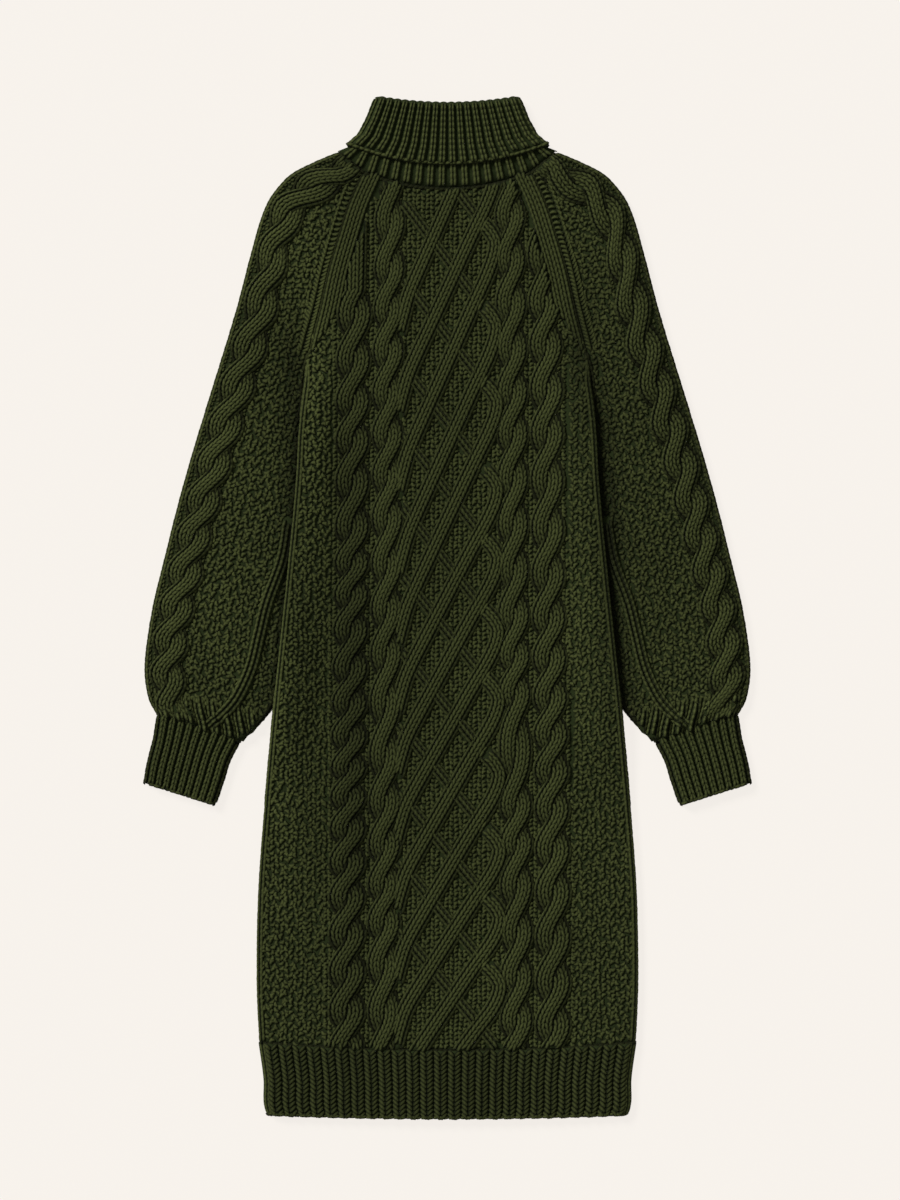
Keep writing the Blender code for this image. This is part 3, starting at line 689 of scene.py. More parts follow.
# %% Ribs, and the cable of a sleeve
RIB_RISE = 0.0026
HEM_RIBS = 26
CUFF_RIBS = 9
COLLAR_RIBS = 18
SLEEVE_CABLE = 0.0430
CABLE_MARGIN = 0.0020  # plain knit between the cable and the outer fold
PUFF_LENGTH = 0.040
GATHER_RISE = 0.0054
GATHER_WIDTH = 0.0160
LINE_RISE = 0.0038
LINE_HALF = 0.0074
SLEEVE_LINE = [  # x and y of the ribbed line inside the wearer's left sleeve
    (0.1900, 0.1000),
    (0.1979, 0.0564),
    (0.2158, 0.0066),
    (0.2257, -0.0331),
    (0.2358, -0.0730),
    (0.2514, -0.1068),
    (0.2675, -0.1267),
    (0.2860, -0.1420),
]


def rib_rise(count):
    """The ribs' height where count goes up by one for each rib."""
    return RIB_RISE * dome((np.mod(count, 1) - 0.5) / 0.42)


def hem_count(s, y):
    flat = body_half(row_of(s, y, True)) - CLOTH / 2 - FOLD
    return (np.clip(s / flat, -1.2, 1.2) + 1) / 2 * HEM_RIBS


def sleeve_across(t, down):
    width = np.minimum(SLEEVE_CABLE, 0.9 * sleeve_flat(down))
    return 1 - 2 * (t - CABLE_MARGIN) / width


def sleeve_place(across, down):
    width = np.minimum(SLEEVE_CABLE, 0.9 * sleeve_flat(down))
    return CABLE_MARGIN + (1 - across) / 2 * width


SLEEVE_PITCHES = [(0.0, 0.0516), (0.25, 0.0500), (0.50, 0.0440), (0.76, 0.0378)]
DOWNS = np.linspace(0, SLEEVE_LENGTH, 300)
CROSSINGS = np.cumsum(np.gradient(DOWNS) / through(SLEEVE_PITCHES, DOWNS))


def sleeve_turn(down):
    return math.pi * np.interp(down, DOWNS, CROSSINGS)


def gathers(t, down):
    """The puckers where the sleeve is drawn in to the cuff."""
    near = ease(down, SLEEVE_LENGTH - PUFF_LENGTH, SLEEVE_LENGTH - 0.012)
    pucker = 0.5 - 0.5 * np.cos(t * math.tau / GATHER_WIDTH + 30 * (down - SLEEVE_LENGTH))
    return GATHER_RISE * near * pucker * (t > -0.004)


LINE_AT = np.linspace(0, len(SLEEVE_LINE) - 1, 60)
LINE_XY = tuple(through(list(enumerate(column)), LINE_AT) for column in zip(*SLEEVE_LINE))


def line_rise(t, down):
    """A narrow cord of ribs that runs from under the body's edge to the top of the cuff."""
    t, down = np.broadcast_arrays(t, down)
    place = sleeve_at(1)(t, down, 0.0 * t)
    off = off_line(place[..., 0], place[..., 1], LINE_XY)
    end = 1 - ease(down, SLEEVE_LENGTH - 0.010, SLEEVE_LENGTH)
    return LINE_RISE * dome(off / LINE_HALF) * (t > 0) * end


def sleeve_rise(t, down, lean):
    """How far a sleeve's outer side stands proud. lean is 1 on the wearer's left."""
    across = sleeve_across(t, down) * lean
    inside = CABLE_RISE * rope_rise(across, -sleeve_turn(down))
    fade = 1 - ease(down, SLEEVE_LENGTH - 0.012, SLEEVE_LENGTH)
    folds = np.maximum(gathers(t, down), line_rise(t, down))
    return np.maximum(inside * fade * (t > -0.004), folds)


print("rope crossings down a sleeve:", round(float(CROSSINGS[-1]), 1))

# %% [markdown]
# ## The shells of cloth
# Each piece is a closed wall: a close grid on the side that shows, with the relief in its
# points, a coarse one inside, and a zip of triangles round the border where the two counts
# differ. The skin lies about a millimetre below the tops of the stitches, so that what shows
# between the legs of yarn is the shaded ground of the knit and never a hole.

# %% A wall between two grids
GROUND = 0.0010  # the shell's skin lies this far below the face of the knit
PRESSED = 0.0020  # and this far on the side that the dress lies on, where stitches are flat


def zipped(first, second, points):
    """Triangles between two lines of point numbers that may have unlike counts."""

    def shares(line):
        steps = np.linalg.norm(np.diff(points[line], axis=0), axis=1)
        return np.concatenate([[0], np.cumsum(steps)]) / max(steps.sum(), 1e-9)

    first_at, second_at = shares(first), shares(second)
    faces, i, j = [], 0, 0
    while i < len(first) - 1 or j < len(second) - 1:
        next_first = first_at[i + 1] if i < len(first) - 1 else 2.0
        next_second = second_at[j + 1] if j < len(second) - 1 else 2.0
        if next_first <= next_second:
            faces.append((first[i], first[i + 1], second[j]))
            i += 1
        else:
            faces.append((first[i], second[j + 1], second[j]))
            j += 1
    return faces


def wall(name, outer, inner, closed=False):
    """A closed mesh between an outer and an inner grid of points."""
    points = np.concatenate([outer.reshape(-1, 3), inner.reshape(-1, 3)])
    faces, numbers, start = [], [], 0
    for grid in (outer, inner):
        rows, columns = grid.shape[:2]
        number = start + np.arange(rows * columns).reshape(rows, columns)
        if closed:
            number = np.concatenate([number, number[:, :1]], axis=1)
        corners = (number[:-1, :-1], number[:-1, 1:], number[1:, 1:], number[1:, :-1])
        faces += np.stack(corners, -1).reshape(-1, 4).tolist()
        numbers.append(number)
        start += rows * columns
    near, far = numbers
    borders = [(near[0], far[0]), (near[-1], far[-1])]
    if not closed:
        borders += [(near[:, 0], far[:, 0]), (near[:, -1], far[:, -1])]
    for first, second in borders:
        faces += zipped(first, second, points)
    mesh = bpy.data.meshes.new(name)
    mesh.from_pydata(points.tolist(), [], faces)
    bm = bmesh.new()
    bm.from_mesh(mesh)
    bmesh.ops.recalc_face_normals(bm, faces=bm.faces)
    bm.to_mesh(mesh)
    bm.free()
    mesh.shade_smooth()
    made = bpy.data.objects.new(name, mesh)
    bpy.context.scene.collection.objects.link(made)
    print(f"{name}: {len(faces)} faces")
    return made


# %% Shells of the body
CABLE_ZONE = 0.1500
EDGE_ZONE = 0.0240


def body_columns(marks, edge_shares, folds, rows):
    """Distances across the body, one row of them for each row of stitches. marks are shares
    of the cable zone, edge_shares of the strip beside it and folds of the folded edge."""
    rows = np.asarray(rows)[:, None]
    drop = folded(rows)
    flat = body_half(rows) - drop * CLOTH / 2 - FOLD
    middle = np.minimum(CABLE_ZONE * spread(rows), flat - EDGE_ZONE)
    skin = FOLD + drop * (SKIN * math.pi / 2 - FOLD)
    outside = [middle + (flat - middle) * share for share in edge_shares]
    outside += [flat + skin * share for share in folds]
    right = np.concatenate(outside, axis=1)
    return np.concatenate([-right[:, ::-1], middle * np.asarray(marks), right], axis=1)


def body_grid(marks, edge_shares, folds, rows, upper, height):
    s = body_columns(marks, edge_shares, folds, rows)
    y = place_of(s, np.asarray(rows)[:, None], upper)
    h = height(s, y) if callable(height) else np.full(s.shape, height)
    return body_at(s, y, h, upper)


PANEL_ROWS = (HEM_SEAM_Y + SEAM_GAP / 2, NECK_Y)
HEM_ROWS = (HEM_Y, HEM_SEAM_Y - SEAM_GAP / 2)
FINE_MARKS = np.linspace(-1, 1, 91)
INNER_MARKS = np.linspace(-0.9, 0.9, 13)
INNER_EDGES, INNER_FOLDS = (0.0, 0.5), (0.0, 1.0)


def add_body_shell(name, span, step, marks, upper, height):
    fine = np.linspace(*span, round((span[1] - span[0]) / step) + 1)
    coarse = np.linspace(*span, round((span[1] - span[0]) / 0.020) + 1)
    folds = (0.0, 0.33, 0.66, 1.0)
    edges = np.linspace(0.12, 0.9, 8)
    outer = body_grid(marks, edges, folds, fine, upper, height)
    inner = body_grid(INNER_MARKS, INNER_EDGES, INNER_FOLDS, coarse, upper, -CLOTH)
    return wall(name, outer, inner)


def front_skin(s, y):
    return 0.93 * front_rise(s, y) - GROUND


def hem_rise(s, y):
    return rib_rise(hem_count(s, y))


def add_hem_shell(name, upper):
    rows = np.linspace(*HEM_ROWS, 12)
    shares = np.linspace(-1, 1, 6 * HEM_RIBS + 1)
    half = body_half(rows)[:, None] - CLOTH / 2
    flat, skin = half - FOLD, SKIN * math.pi / 2
    folds = [flat + skin * share for share in (0.33, 0.66, 1.0)]
    right = np.concatenate(folds, axis=1)
    s = np.concatenate([-right[:, ::-1], flat * shares, right], axis=1)
    skin = hem_rise(s, rows[:, None]) - (GROUND if upper else PRESSED + RIB_RISE)
    outer = body_at(s, place_of(s, rows[:, None], upper), skin, upper)
    inner = body_grid(INNER_MARKS, INNER_EDGES, INNER_FOLDS, rows[::3], upper, -CLOTH)
    inner[-1] = body_grid(INNER_MARKS, INNER_EDGES, INNER_FOLDS, rows[-1:], upper, -CLOTH)[0]
    return wall(name, outer, inner)


front_shell = add_body_shell("front_shell", PANEL_ROWS, 0.0055, FINE_MARKS, True, front_skin)
back_marks = np.linspace(-1, 1, 41)
back_shell = add_body_shell("back_shell", PANEL_ROWS, 0.0090, back_marks, False, -PRESSED)
hem_shells = [add_hem_shell("hem_front_shell", True), add_hem_shell("hem_back_shell", False)]


# %% Shells of the sleeves and cuffs
def add_sleeve_shell(name, side):
    at = sleeve_at(side)
    turn = math.pi * SKIN

    def grid(downs, cable, plain, rounds, height):
        downs = downs[:, None]
        flat = sleeve_flat(downs)
        cable_end = np.minimum(SLEEVE_CABLE + CABLE_MARGIN, 0.92 * flat)
        inner_y = np.interp(downs, SLEEVE_DOWN, SLEEVE_ENDS[1])
        skin = FOLD + folded(inner_y) * (SKIN * math.pi / 2 - FOLD)
        columns = [flat + skin * share for share in (1.0, 0.5)]
        columns += [cable_end + (flat - cable_end) * share for share in plain[::-1]]
        columns += [cable_end * share for share in cable[::-1]]
        columns += [-turn * share + 0 * flat for share in rounds]
        columns += [-turn - flat * share for share in (0.0, 0.2, 0.4, 0.6, 0.8, 1.0)]
        columns += [-turn - flat - skin * share for share in (0.5, 1.0)]
        t = np.concatenate(columns, axis=1)
        skin = sleeve_rise(t, downs, side) * 0.93 - np.where(t < -turn, PRESSED, GROUND)
        h = skin if height is None else height
        return at(t, downs, h + 0 * t)

    downs = np.linspace(0, SLEEVE_LENGTH - SEAM_GAP, 150)
    fine = grid(downs, np.linspace(0, 1, 13), np.linspace(0.06, 1, 16), (0.25, 0.5, 0.75), None)
    plain = np.linspace(0.2, 1, 4)
    inner = grid(downs[::7], np.linspace(0, 1, 4), plain, (0.5,), -CLOTH)
    inner[-1] = grid(downs[-1:], np.linspace(0, 1, 4), plain, (0.5,), -CLOTH)[0]
    return wall(name, fine, inner)


def ring_columns(ribs, across, arc):
    """Places round a flat tube, c from 0 to 4, with even steps on each of its four parts."""
    layer, turn = np.linspace(0, 1, across * ribs + 1)[:-1], np.linspace(0, 1, arc + 1)[:-1]
    return np.concatenate([layer, 1 + turn, 2 + layer, 3 + turn])


def ring_count(c, ribs):
    """A count of ribs round a flat tube; the turned edges have plain knit."""
    part, even = np.mod(c, 1), np.floor(np.mod(c, 4)) % 2 == 0
    return np.where(even, part * ribs, 0.0)


def add_cuff_shell(name, side):
    at = cuff_at(side)
    c, shares = ring_columns(CUFF_RIBS, 6, 6)[None], np.linspace(0, 1, 16)[:, None]
    skin = rib_rise(ring_count(c, CUFF_RIBS)) - np.where(c < 2, GROUND, PRESSED + RIB_RISE)
    outer = at(c + 0 * shares, shares + 0 * c, skin)
    c, shares = ring_columns(1, 6, 3)[None], np.linspace(0, 1, 6)[:, None]
    return wall(name, outer, at(c + 0 * shares, shares + 0 * c, -RIB_CLOTH), closed=True)


sleeve_shells = {side: add_sleeve_shell(f"sleeve_{name}_shell", side)
                 for name, side in (("left", 1), ("right", -1))}
cuff_shells = {side: add_cuff_shell(f"cuff_{name}_shell", side)
               for name, side in (("left", 1), ("right", -1))}


# %% Shell of the roll neck
def add_collar_shell():
    c = ring_columns(COLLAR_RIBS, 6, 4)[None]
    seen = np.linspace(FIRST_TURNED, COLLAR_RINGS - 1, 12)
    marks = np.concatenate([np.linspace(0, 2, 5), [2.5, 3, 3.5, 4, 5, 6], seen])[:, None]
    ribs = rib_rise(ring_count(c, COLLAR_RIBS))
    below = np.where((c >= 2) & (marks > 6), PRESSED + RIB_RISE, GROUND)
    skin = ribs * ease(marks, 4.0, 7.0) - below
    turned = collar_at(c + 0 * marks, marks + 0 * c, -RIB_CLOTH - skin)
    c = ring_columns(COLLAR_RIBS // 3, 6, 3)[None]
    marks = np.concatenate([np.linspace(0, 2, 5), [2.6, 3, 4, 5, 6, 7, 8.5, 10]])[:, None]
    stand = collar_at(c + 0 * marks, marks + 0 * c, -GROUND)
    return wall("collar_shell", turned, stand, closed=True)


collar_shell = add_collar_shell()

# %% [markdown]
# ## One leg of yarn, and a tree that lays it
# A knit stitch shows as two legs of yarn that lean together in a V. One leg is a plump pillow,
# thickest in its middle. Thirty triangles are enough for it, since it is laid thousands of
# times. A purl shows as a shorter leg, bent like a comma. The places are points that carry
# which way the leg runs, which way is up from the cloth, its size, and its tone with painted
# shade and light in it. Geometry Nodes turn, scale and slightly unsettle a leg at each of them.

# %% The leg of a stitch, and the bump of a purl
Station = namedtuple("Station", "along girth lift")
LEG_STATIONS = [Station(-0.34, 0.86, 0.0), Station(0.02, 1.0, 0.04), Station(0.36, 0.88, 0.07)]
BUMP_STATIONS = [Station(-0.31, 0.84, 0.0), Station(0.0, 1.0, 0.05), Station(0.31, 0.84, 0.02)]
LEG_RING = [(-0.50, 0.0), (-0.36, 0.40), (0.0, 0.56), (0.36, 0.40), (0.50, 0.0)]


def yarn_leg(name, stations, ring, bow):
    """A closed pillow, one unit long, wide and high, whose middle is moved aside by bow."""
    points, crest, turn, faces = [(-0.5, -bow / 2, -0.04)], [0.0], [(0.0, 0.5)], []
    for station in stations:
        aside = bow * (0.5 - 4 * station.along**2)
        for number, (y, z) in enumerate(ring):
            points.append((station.along, y * station.girth + aside, z * station.girth + station.lift))
            crest.append(z / 0.56 * (1 - abs(station.along) / 2))
            turn.append((station.along + 0.5, number / (len(ring) - 1)))
    points.append((0.5, -bow / 2, 0.02))
    crest.append(0.0)
    turn.append((1.0, 0.5))
    size, last = len(ring), len(points) - 1
    for number in range(size):
        following = (number + 1) % size
        faces.append((0, 1 + number, 1 + following))
        for ring_start in range(1, last - size, size):
            a, b = ring_start + number, ring_start + following
            faces += [(a, a + size, b + size), (a, b + size, b)]
        faces.append((last, last - size + following, last - size + number))
    mesh = bpy.data.meshes.new(name)
    mesh.from_pydata(points, [], faces)
    mesh.shade_smooth()
    # crest is how high a point stands on the leg, lower towards its ends; the yarn paints shade from it,
    # darkest at the foot.
    mesh.attributes.new("crest", "FLOAT", "POINT").data.foreach_set("value", crest)
    layer = mesh.uv_layers.new(name="yarn")
    for loop in mesh.loops:
        layer.uv[loop.index].vector = turn[loop.vertex_index]
    bm = bmesh.new()
    bm.from_mesh(mesh)
    bmesh.ops.recalc_face_normals(bm, faces=bm.faces)
    bm.to_mesh(mesh)
    bm.free()
    made = bpy.data.objects.new(name, mesh)
    bpy.context.scene.collection.objects.link(made)
    print(f"{name}: {len(faces)} triangles")
    return made


knit_leg = yarn_leg("knit_leg", LEG_STATIONS, LEG_RING, 0.0)
purl_bump = yarn_leg("purl_bump", BUMP_STATIONS, LEG_RING, 0.60)
low_bump = yarn_leg("low_bump", LEG_STATIONS[::2], [(-0.5, 0.0), (0.0, 0.62), (0.5, 0.0)], 0.20)


# %% The tree
def add_node(tree, kind, inputs=(), **settings):
    """Adds a node with its settings, and fills its inputs with values or other outputs."""
    made = tree.nodes.new(kind)
    for name, value in settings.items():
        setattr(made, name, value)
    for key, value in dict(inputs).items():
        if isinstance(value, bpy.types.NodeSocket):
            tree.links.new(value, made.inputs[key])
        else:
            made.inputs[key].default_value = value
    return made


def knitting_tree():
    """Lays a leg of yarn at every point, turned and sized by the point's own attributes."""
    tree = bpy.data.node_groups.new("knitting", "GeometryNodeTree")
    for name, kind in (
        ("Places", "NodeSocketGeometry"),
        ("Leg", "NodeSocketObject"),
        ("Yarn", "NodeSocketMaterial"),
        ("Turn Unevenness", "NodeSocketFloat"),
        ("Size Unevenness", "NodeSocketFloat"),
        ("Seed", "NodeSocketInt"),
    ):
        tree.interface.new_socket(name, in_out="INPUT", socket_type=kind)
    tree.interface.new_socket("Stitches", in_out="OUTPUT", socket_type="NodeSocketGeometry")
    given = add_node(tree, "NodeGroupInput").outputs

    def named(attribute, kind="FLOAT_VECTOR"):
        made = add_node(tree, "GeometryNodeInputNamedAttribute", {"Name": attribute}, data_type=kind)
        return made.outputs["Attribute"]

    axes = {"Primary Axis": named("up"), "Secondary Axis": named("along")}
    facing = add_node(
        tree, "FunctionNodeAxesToRotation", axes, primary_axis="Z", secondary_axis="X"
    )
    spin = add_node(tree, "FunctionNodeRandomValue", {"Seed": given["Seed"]}, data_type="FLOAT")
    spin.inputs[2].default_value, spin.inputs[3].default_value = -1.0, 1.0
    amount = add_node(
        tree,
        "ShaderNodeMath",
        {0: spin.outputs[1], 1: given["Turn Unevenness"]},
        operation="MULTIPLY",
    )
    euler = add_node(tree, "ShaderNodeCombineXYZ", {"Z": amount.outputs[0]})
    to_turn = add_node(tree, "FunctionNodeEulerToRotation", {"Euler": euler.outputs[0]})
    turned = add_node(
        tree,
        "FunctionNodeRotateRotation",
        {"Rotation": facing.outputs[0], "Rotate By": to_turn.outputs[0]},
        rotation_space="LOCAL",
    )
    other_seed = add_node(
        tree, "ShaderNodeMath", {0: given["Seed"], 1: 17.0}, operation="ADD"
    )
    swell = add_node(
        tree, "FunctionNodeRandomValue", {"Seed": other_seed.outputs[0]}, data_type="FLOAT"
    )
    swell.inputs[2].default_value, swell.inputs[3].default_value = -1.0, 1.0
    factor = add_node(
        tree,
        "ShaderNodeMath",
        {0: swell.outputs[1], 1: given["Size Unevenness"], 2: 1.0},
        operation="MULTIPLY_ADD",
    )
    size = add_node(
        tree,
        "ShaderNodeVectorMath",
        {0: named("size"), "Scale": factor.outputs[0]},
        operation="SCALE",
    )
    shape = add_node(tree, "GeometryNodeObjectInfo", {"Object": given["Leg"]})
    laid = add_node(
        tree,
        "GeometryNodeInstanceOnPoints",
        {
            "Points": given["Places"],
            "Instance": shape.outputs["Geometry"],
            "Rotation": turned.outputs[0],
            "Scale": size.outputs[0],
        },
    )
    real = add_node(tree, "GeometryNodeRealizeInstances", {"Geometry": laid.outputs[0]})
    dyed = add_node(
        tree, "GeometryNodeSetMaterial", {"Geometry": real.outputs[0], "Material": given["Yarn"]}
    )
    add_node(tree, "NodeGroupOutput", {"Stitches": dyed.outputs[0]})
    return tree


KNITTING = knitting_tree()
print("tree:", len(KNITTING.nodes), "nodes")


# %% Soft folds
# A dress that is laid out is never quite flat: broad folds turn the cloth a little towards the
# light or away from it. They are too low to model, so the yarn is lighter or darker there.
Fold = namedtuple("Fold", "x y reach_x reach_y shade")
FOLDS = [
    Fold(-0.115, -0.10, 0.022, 0.42, -0.42),
    Fold(-0.160, -0.25, 0.018, 0.20, -0.14),
    Fold(-0.203, -0.14, 0.014, 0.22, 0.32),
    Fold(-0.158, 0.22, 0.014, 0.15, 0.36),
    Fold(-0.188, 0.29, 0.012, 0.05, -0.45),
    Fold(-0.270, 0.06, 0.050, 0.24, 0.16),
    Fold(-0.335, 0.08, 0.024, 0.16, 0.16),
    Fold(-0.200, 0.46, 0.060, 0.08, 0.26),
    Fold(-0.010, 0.00, 0.080, 0.60, -0.16),
    Fold(0.160, 0.31, 0.020, 0.09, -0.50),
    Fold(0.192, 0.05, 0.018, 0.20, -0.24),
    Fold(0.230, 0.16, 0.040, 0.24, -0.08),
]


def fold_shade(place):
    x, y = place[:, 0], place[:, 1]
    tone = np.zeros(len(x))
    for fold in FOLDS:
        away = ((x - fold.x) / fold.reach_x) ** 2 + ((y - fold.y) / fold.reach_y) ** 2
        tone += fold.shade * np.exp(-away)
    return tone


# %% Turning places into pieces
# The last field is each stitch's tone: its own lighter or darker yarn, with painted shade and light added to
# it.
Laid = namedtuple("Laid", "place along up size tone")
made_stitches = {}


def knit(name, laid, leg, yarn, unsettled=(0.05, 0.05), seed=1):
    """One plain mesh of stitches from a list of Laid, as a piece of its own."""
    place, along, up, size, tone = (np.concatenate(column) for column in zip(*laid))
    mesh = bpy.data.meshes.new(name)
    mesh.from_pydata(place.tolist(), [], [])
    for attribute, values in (("along", along), ("up", up), ("size", size)):
        data = mesh.attributes.new(attribute, "FLOAT_VECTOR", "POINT").data
        data.foreach_set("vector", values.astype(np.float32).ravel())
    # The soft folds' painted light and shade is added to each stitch's tone here.
    tone = np.maximum(tone + fold_shade(place), -0.84)
    mesh.attributes.new("tone", "FLOAT", "POINT").data.foreach_set("value", tone)
    holder = bpy.data.objects.new(name + "_places", mesh)
    bpy.context.scene.collection.objects.link(holder)
    modifier = holder.modifiers.new("knitting", "NODES")
    modifier.node_group = KNITTING
    values = {
        "Leg": leg,
        "Yarn": yarn,
        "Turn Unevenness": unsettled[0],
        "Size Unevenness": unsettled[1],
        "Seed": seed,
    }
    for item in KNITTING.interface.items_tree:
        if item.name in values:
            modifier[item.identifier] = values[item.name]
    graph = bpy.context.evaluated_depsgraph_get()
    real = bpy.data.meshes.new_from_object(
        holder.evaluated_get(graph), preserve_all_data_layers=True, depsgraph=graph
    )
    bpy.data.objects.remove(holder)
    real.name = name
    corners = np.empty(3 * len(real.vertices))
    real.vertices.foreach_get("co", corners)
    corners[2::3] = np.maximum(corners[2::3], 0.0002)  # the floor presses the lowest yarn flat
    real.vertices.foreach_set("co", corners)
    made = bpy.data.objects.new(name, real)
    bpy.context.scene.collection.objects.link(made)
    made_stitches[name] = made
    print(f"{name}: {len(place)} stitches, {len(real.polygons)} triangles")
    return made


# %% Laying a stitch on the cloth
STEP = 0.0010  # how far to each side a slope is measured
SINK = 0.0016  # how far the foot of a leg lies under the face of the knit


def lay(at, s, v, heading, rise, size, swing=0.0, tone=0.0):
    """Stitches at places on a surface. heading is which way they run on it, rise a function
    for the height of what they lie on, and swing turns them to the left of their heading."""
    hs, hv = heading

    def point(ds, dv):
        return at(s + ds, v + dv, rise(s + ds, v + dv) - SINK)

    ahead = point(STEP * hs, STEP * hv) - point(-STEP * hs, -STEP * hv)
    aside = point(-STEP * hv, STEP * hs) - point(STEP * hv, -STEP * hs)
    up = np.cross(ahead, aside)
    here = point(0.0, 0.0)
    outwards = at(s, v, rise(s, v) + STEP) - here
    up *= np.where((up * outwards).sum(-1) < 0, -1.0, 1.0)[:, None]
    up /= np.linalg.norm(up, axis=-1, keepdims=True)
    ahead /= np.linalg.norm(ahead, axis=-1, keepdims=True)
    left = np.cross(up, ahead)
    angle = np.broadcast_to(swing, s.shape)[:, None]
    along = ahead * np.cos(angle) + left * np.sin(angle)
    sizes = np.broadcast_to(np.asarray(size, float), (len(s), 3))
    # Painted shade: a leg that lies low in the relief, down in a furrow, is made darker.
    furrow_shade = -0.55 * (1 - ease(rise(s, v), 0.0, 0.0032))
    return Laid(here, along, up, sizes, tone + furrow_shade)


def kept(laid, mask):
    return Laid(*(column[mask] for column in laid))


def chain(at, s, v, pitch, shift=0.0):
    """Even steps along a path over the cloth: (s, v, heading)."""
    places = at(s, v, np.zeros(len(s)))
    run = np.concatenate([[0], np.cumsum(np.linalg.norm(np.diff(places, axis=0), axis=1) + 1e-7)])
    stops = np.arange(pitch * (0.25 + shift), run[-1], pitch)
    hs, hv = np.gradient(s, run), np.gradient(v, run)
    heading = np.interp(stops, run, hs), np.interp(stops, run, hv)
    return np.interp(stops, run, s), np.interp(stops, run, v), heading


def flat_rise(s, v):
    return 0.0 * (s + v)


LEG_PITCH = 0.0070
LEG = (0.0120, 0.0049, 0.0050)  # length, width and twice the height of a leg on a cable


# %% [markdown]
# ## Knitting the front
# Each strand of a rope is six columns of legs. A column follows the strand's swing, its legs
# lean left and right by turns so that pairs of columns make Vs, and the outermost columns lie
# straight, as the smooth edge of a real cable does. A leg that would lie under the other strand
# is left out. Between the cables the purl side of the knit shows, as bent bumps in close
# columns. Moss knit has the same bumps with less order, and plain columns run round each fold.

# %% Brushed wool
def linear(hex_colour):
    """An sRGB hex colour as linear RGBA."""
    parts = [int(hex_colour[i : i + 2], 16) / 255 for i in (1, 3, 5)]
    return (*((p / 12.92 if p <= 0.04045 else ((p + 0.055) / 1.055) ** 2.4) for p in parts), 1.0)


FLECK = 0.0011  # metres: a tuft of fibres that took the dye more or less than its neighbours
CLOUD = 0.110  # the slow change from one ball of yarn to the next
FIBRE = 0.0006  # drawn some thirty times as coarse as a real fibre, or it would not show


def add_yarn(name, dark, light, heather, ply, roughness):
    """Brushed wool: its loose fibres scatter the light, so it is soft and deep in colour, with
    no highlight and only a faint pale rim. dark is painted shade, in the furrows and at the
    foot of each leg, and light is the colour of the lit crests."""
    made = bpy.data.materials.new(name)
    made.use_nodes = True
    tree = made.node_tree
    shader = tree.nodes["Principled BSDF"]
    shader.inputs["Roughness"].default_value = roughness
    shader.inputs["IOR"].default_value = 1.50
    shader.inputs["Specular IOR Level"].default_value = 0.06
    shader.inputs["Sheen Weight"].default_value = 0.08
    shader.inputs["Sheen Roughness"].default_value = 0.55
    shader.inputs["Sheen Tint"].default_value = linear("#A3AA7C")
    crest = add_node(tree, "ShaderNodeAttribute", attribute_name="crest").outputs["Fac"]
    tone = add_node(tree, "ShaderNodeAttribute", attribute_name="tone").outputs["Fac"]
    place = add_node(tree, "ShaderNodeTexCoord").outputs["Object"]
    fleck = add_node(tree, "ShaderNodeTexNoise", {"Vector": place, "Scale": 1 / FLECK, "Detail": 2.0})
    cloud = add_node(tree, "ShaderNodeTexNoise", {"Vector": place, "Scale": 1 / CLOUD, "Detail": 2.0})
    # Painted shade: from the crest down to the foot of a leg, the yarn goes over to the first, darker colour.
    depth = add_node(
        tree,
        "ShaderNodeMapRange",
        {"Value": crest, "From Min": 0.50, "From Max": 1.0},
        interpolation_type="SMOOTHSTEP",
    ).outputs[0]
    yarn = add_node(
        tree, "ShaderNodeMix", {"Factor": depth, "A": linear(dark), "B": linear(light)}, data_type="RGBA"
    )
    yarn.inputs[6].default_value, yarn.inputs[7].default_value = linear(dark), linear(light)
    level = add_node(tree, "ShaderNodeMath", {0: tone, 1: 1.0}, operation="ADD").outputs[0]
    for source, amount in ((fleck, heather), (cloud, 0.35)):
        swing = add_node(
            tree, "ShaderNodeMath", {0: source.outputs[0], 1: amount, 2: 1 - amount / 2},
            operation="MULTIPLY_ADD",
        ).outputs[0]
        level = add_node(tree, "ShaderNodeMath", {0: level, 1: swing}, operation="MULTIPLY").outputs[0]
    shade = add_node(
        tree, "ShaderNodeVectorMath", {0: yarn.outputs[2], "Scale": level}, operation="SCALE"
    ).outputs[0]
    tree.links.new(shade, shader.inputs["Base Color"])
    around = add_node(tree, "ShaderNodeSeparateXYZ", {0: add_node(tree, "ShaderNodeTexCoord").outputs["UV"]})
    twist = add_node(
        tree, "ShaderNodeMath", {0: around.outputs["X"], 1: 3.0, 2: around.outputs["Y"]},
        operation="MULTIPLY_ADD",
    )
    strand = add_node(tree, "ShaderNodeMath", {0: twist.outputs[0], 1: 6.2832}, operation="MULTIPLY")
    wave = add_node(tree, "ShaderNodeMath", {0: strand.outputs[0]}, operation="SINE")
    fibre = add_node(
        tree, "ShaderNodeTexNoise", {"Vector": place, "Scale": 1 / FIBRE, "Detail": 3.0, "Roughness": 0.7}
    )
    height = add_node(
        tree, "ShaderNodeMath", {0: wave.outputs[0], 1: ply, 2: fibre.outputs[0]},
        operation="MULTIPLY_ADD",
    )
    bump = add_node(
        tree, "ShaderNodeBump", {"Strength": 0.35, "Distance": 0.0006, "Height": height.outputs[0]}
    )
    tree.links.new(bump.outputs[0], shader.inputs["Normal"])
    return made


brushed_wool = add_yarn("brushed_wool", "#12170A", "#434927", 0.60, 0.30, 0.90)
# The shell has no crest, so all of it takes the darker first colour: painted shade in the gaps between the
# legs.
wool_ground_painted_shade = add_yarn("wool_ground_painted_shade", "#232B15", "#434927", 0.30, 0.0, 0.95)


# %% Ropes
COLUMNS = [(-0.90, 0.04), (-0.54, 0.22), (-0.18, -0.22), (0.18, 0.22), (0.54, -0.22), (0.90, -0.04)]


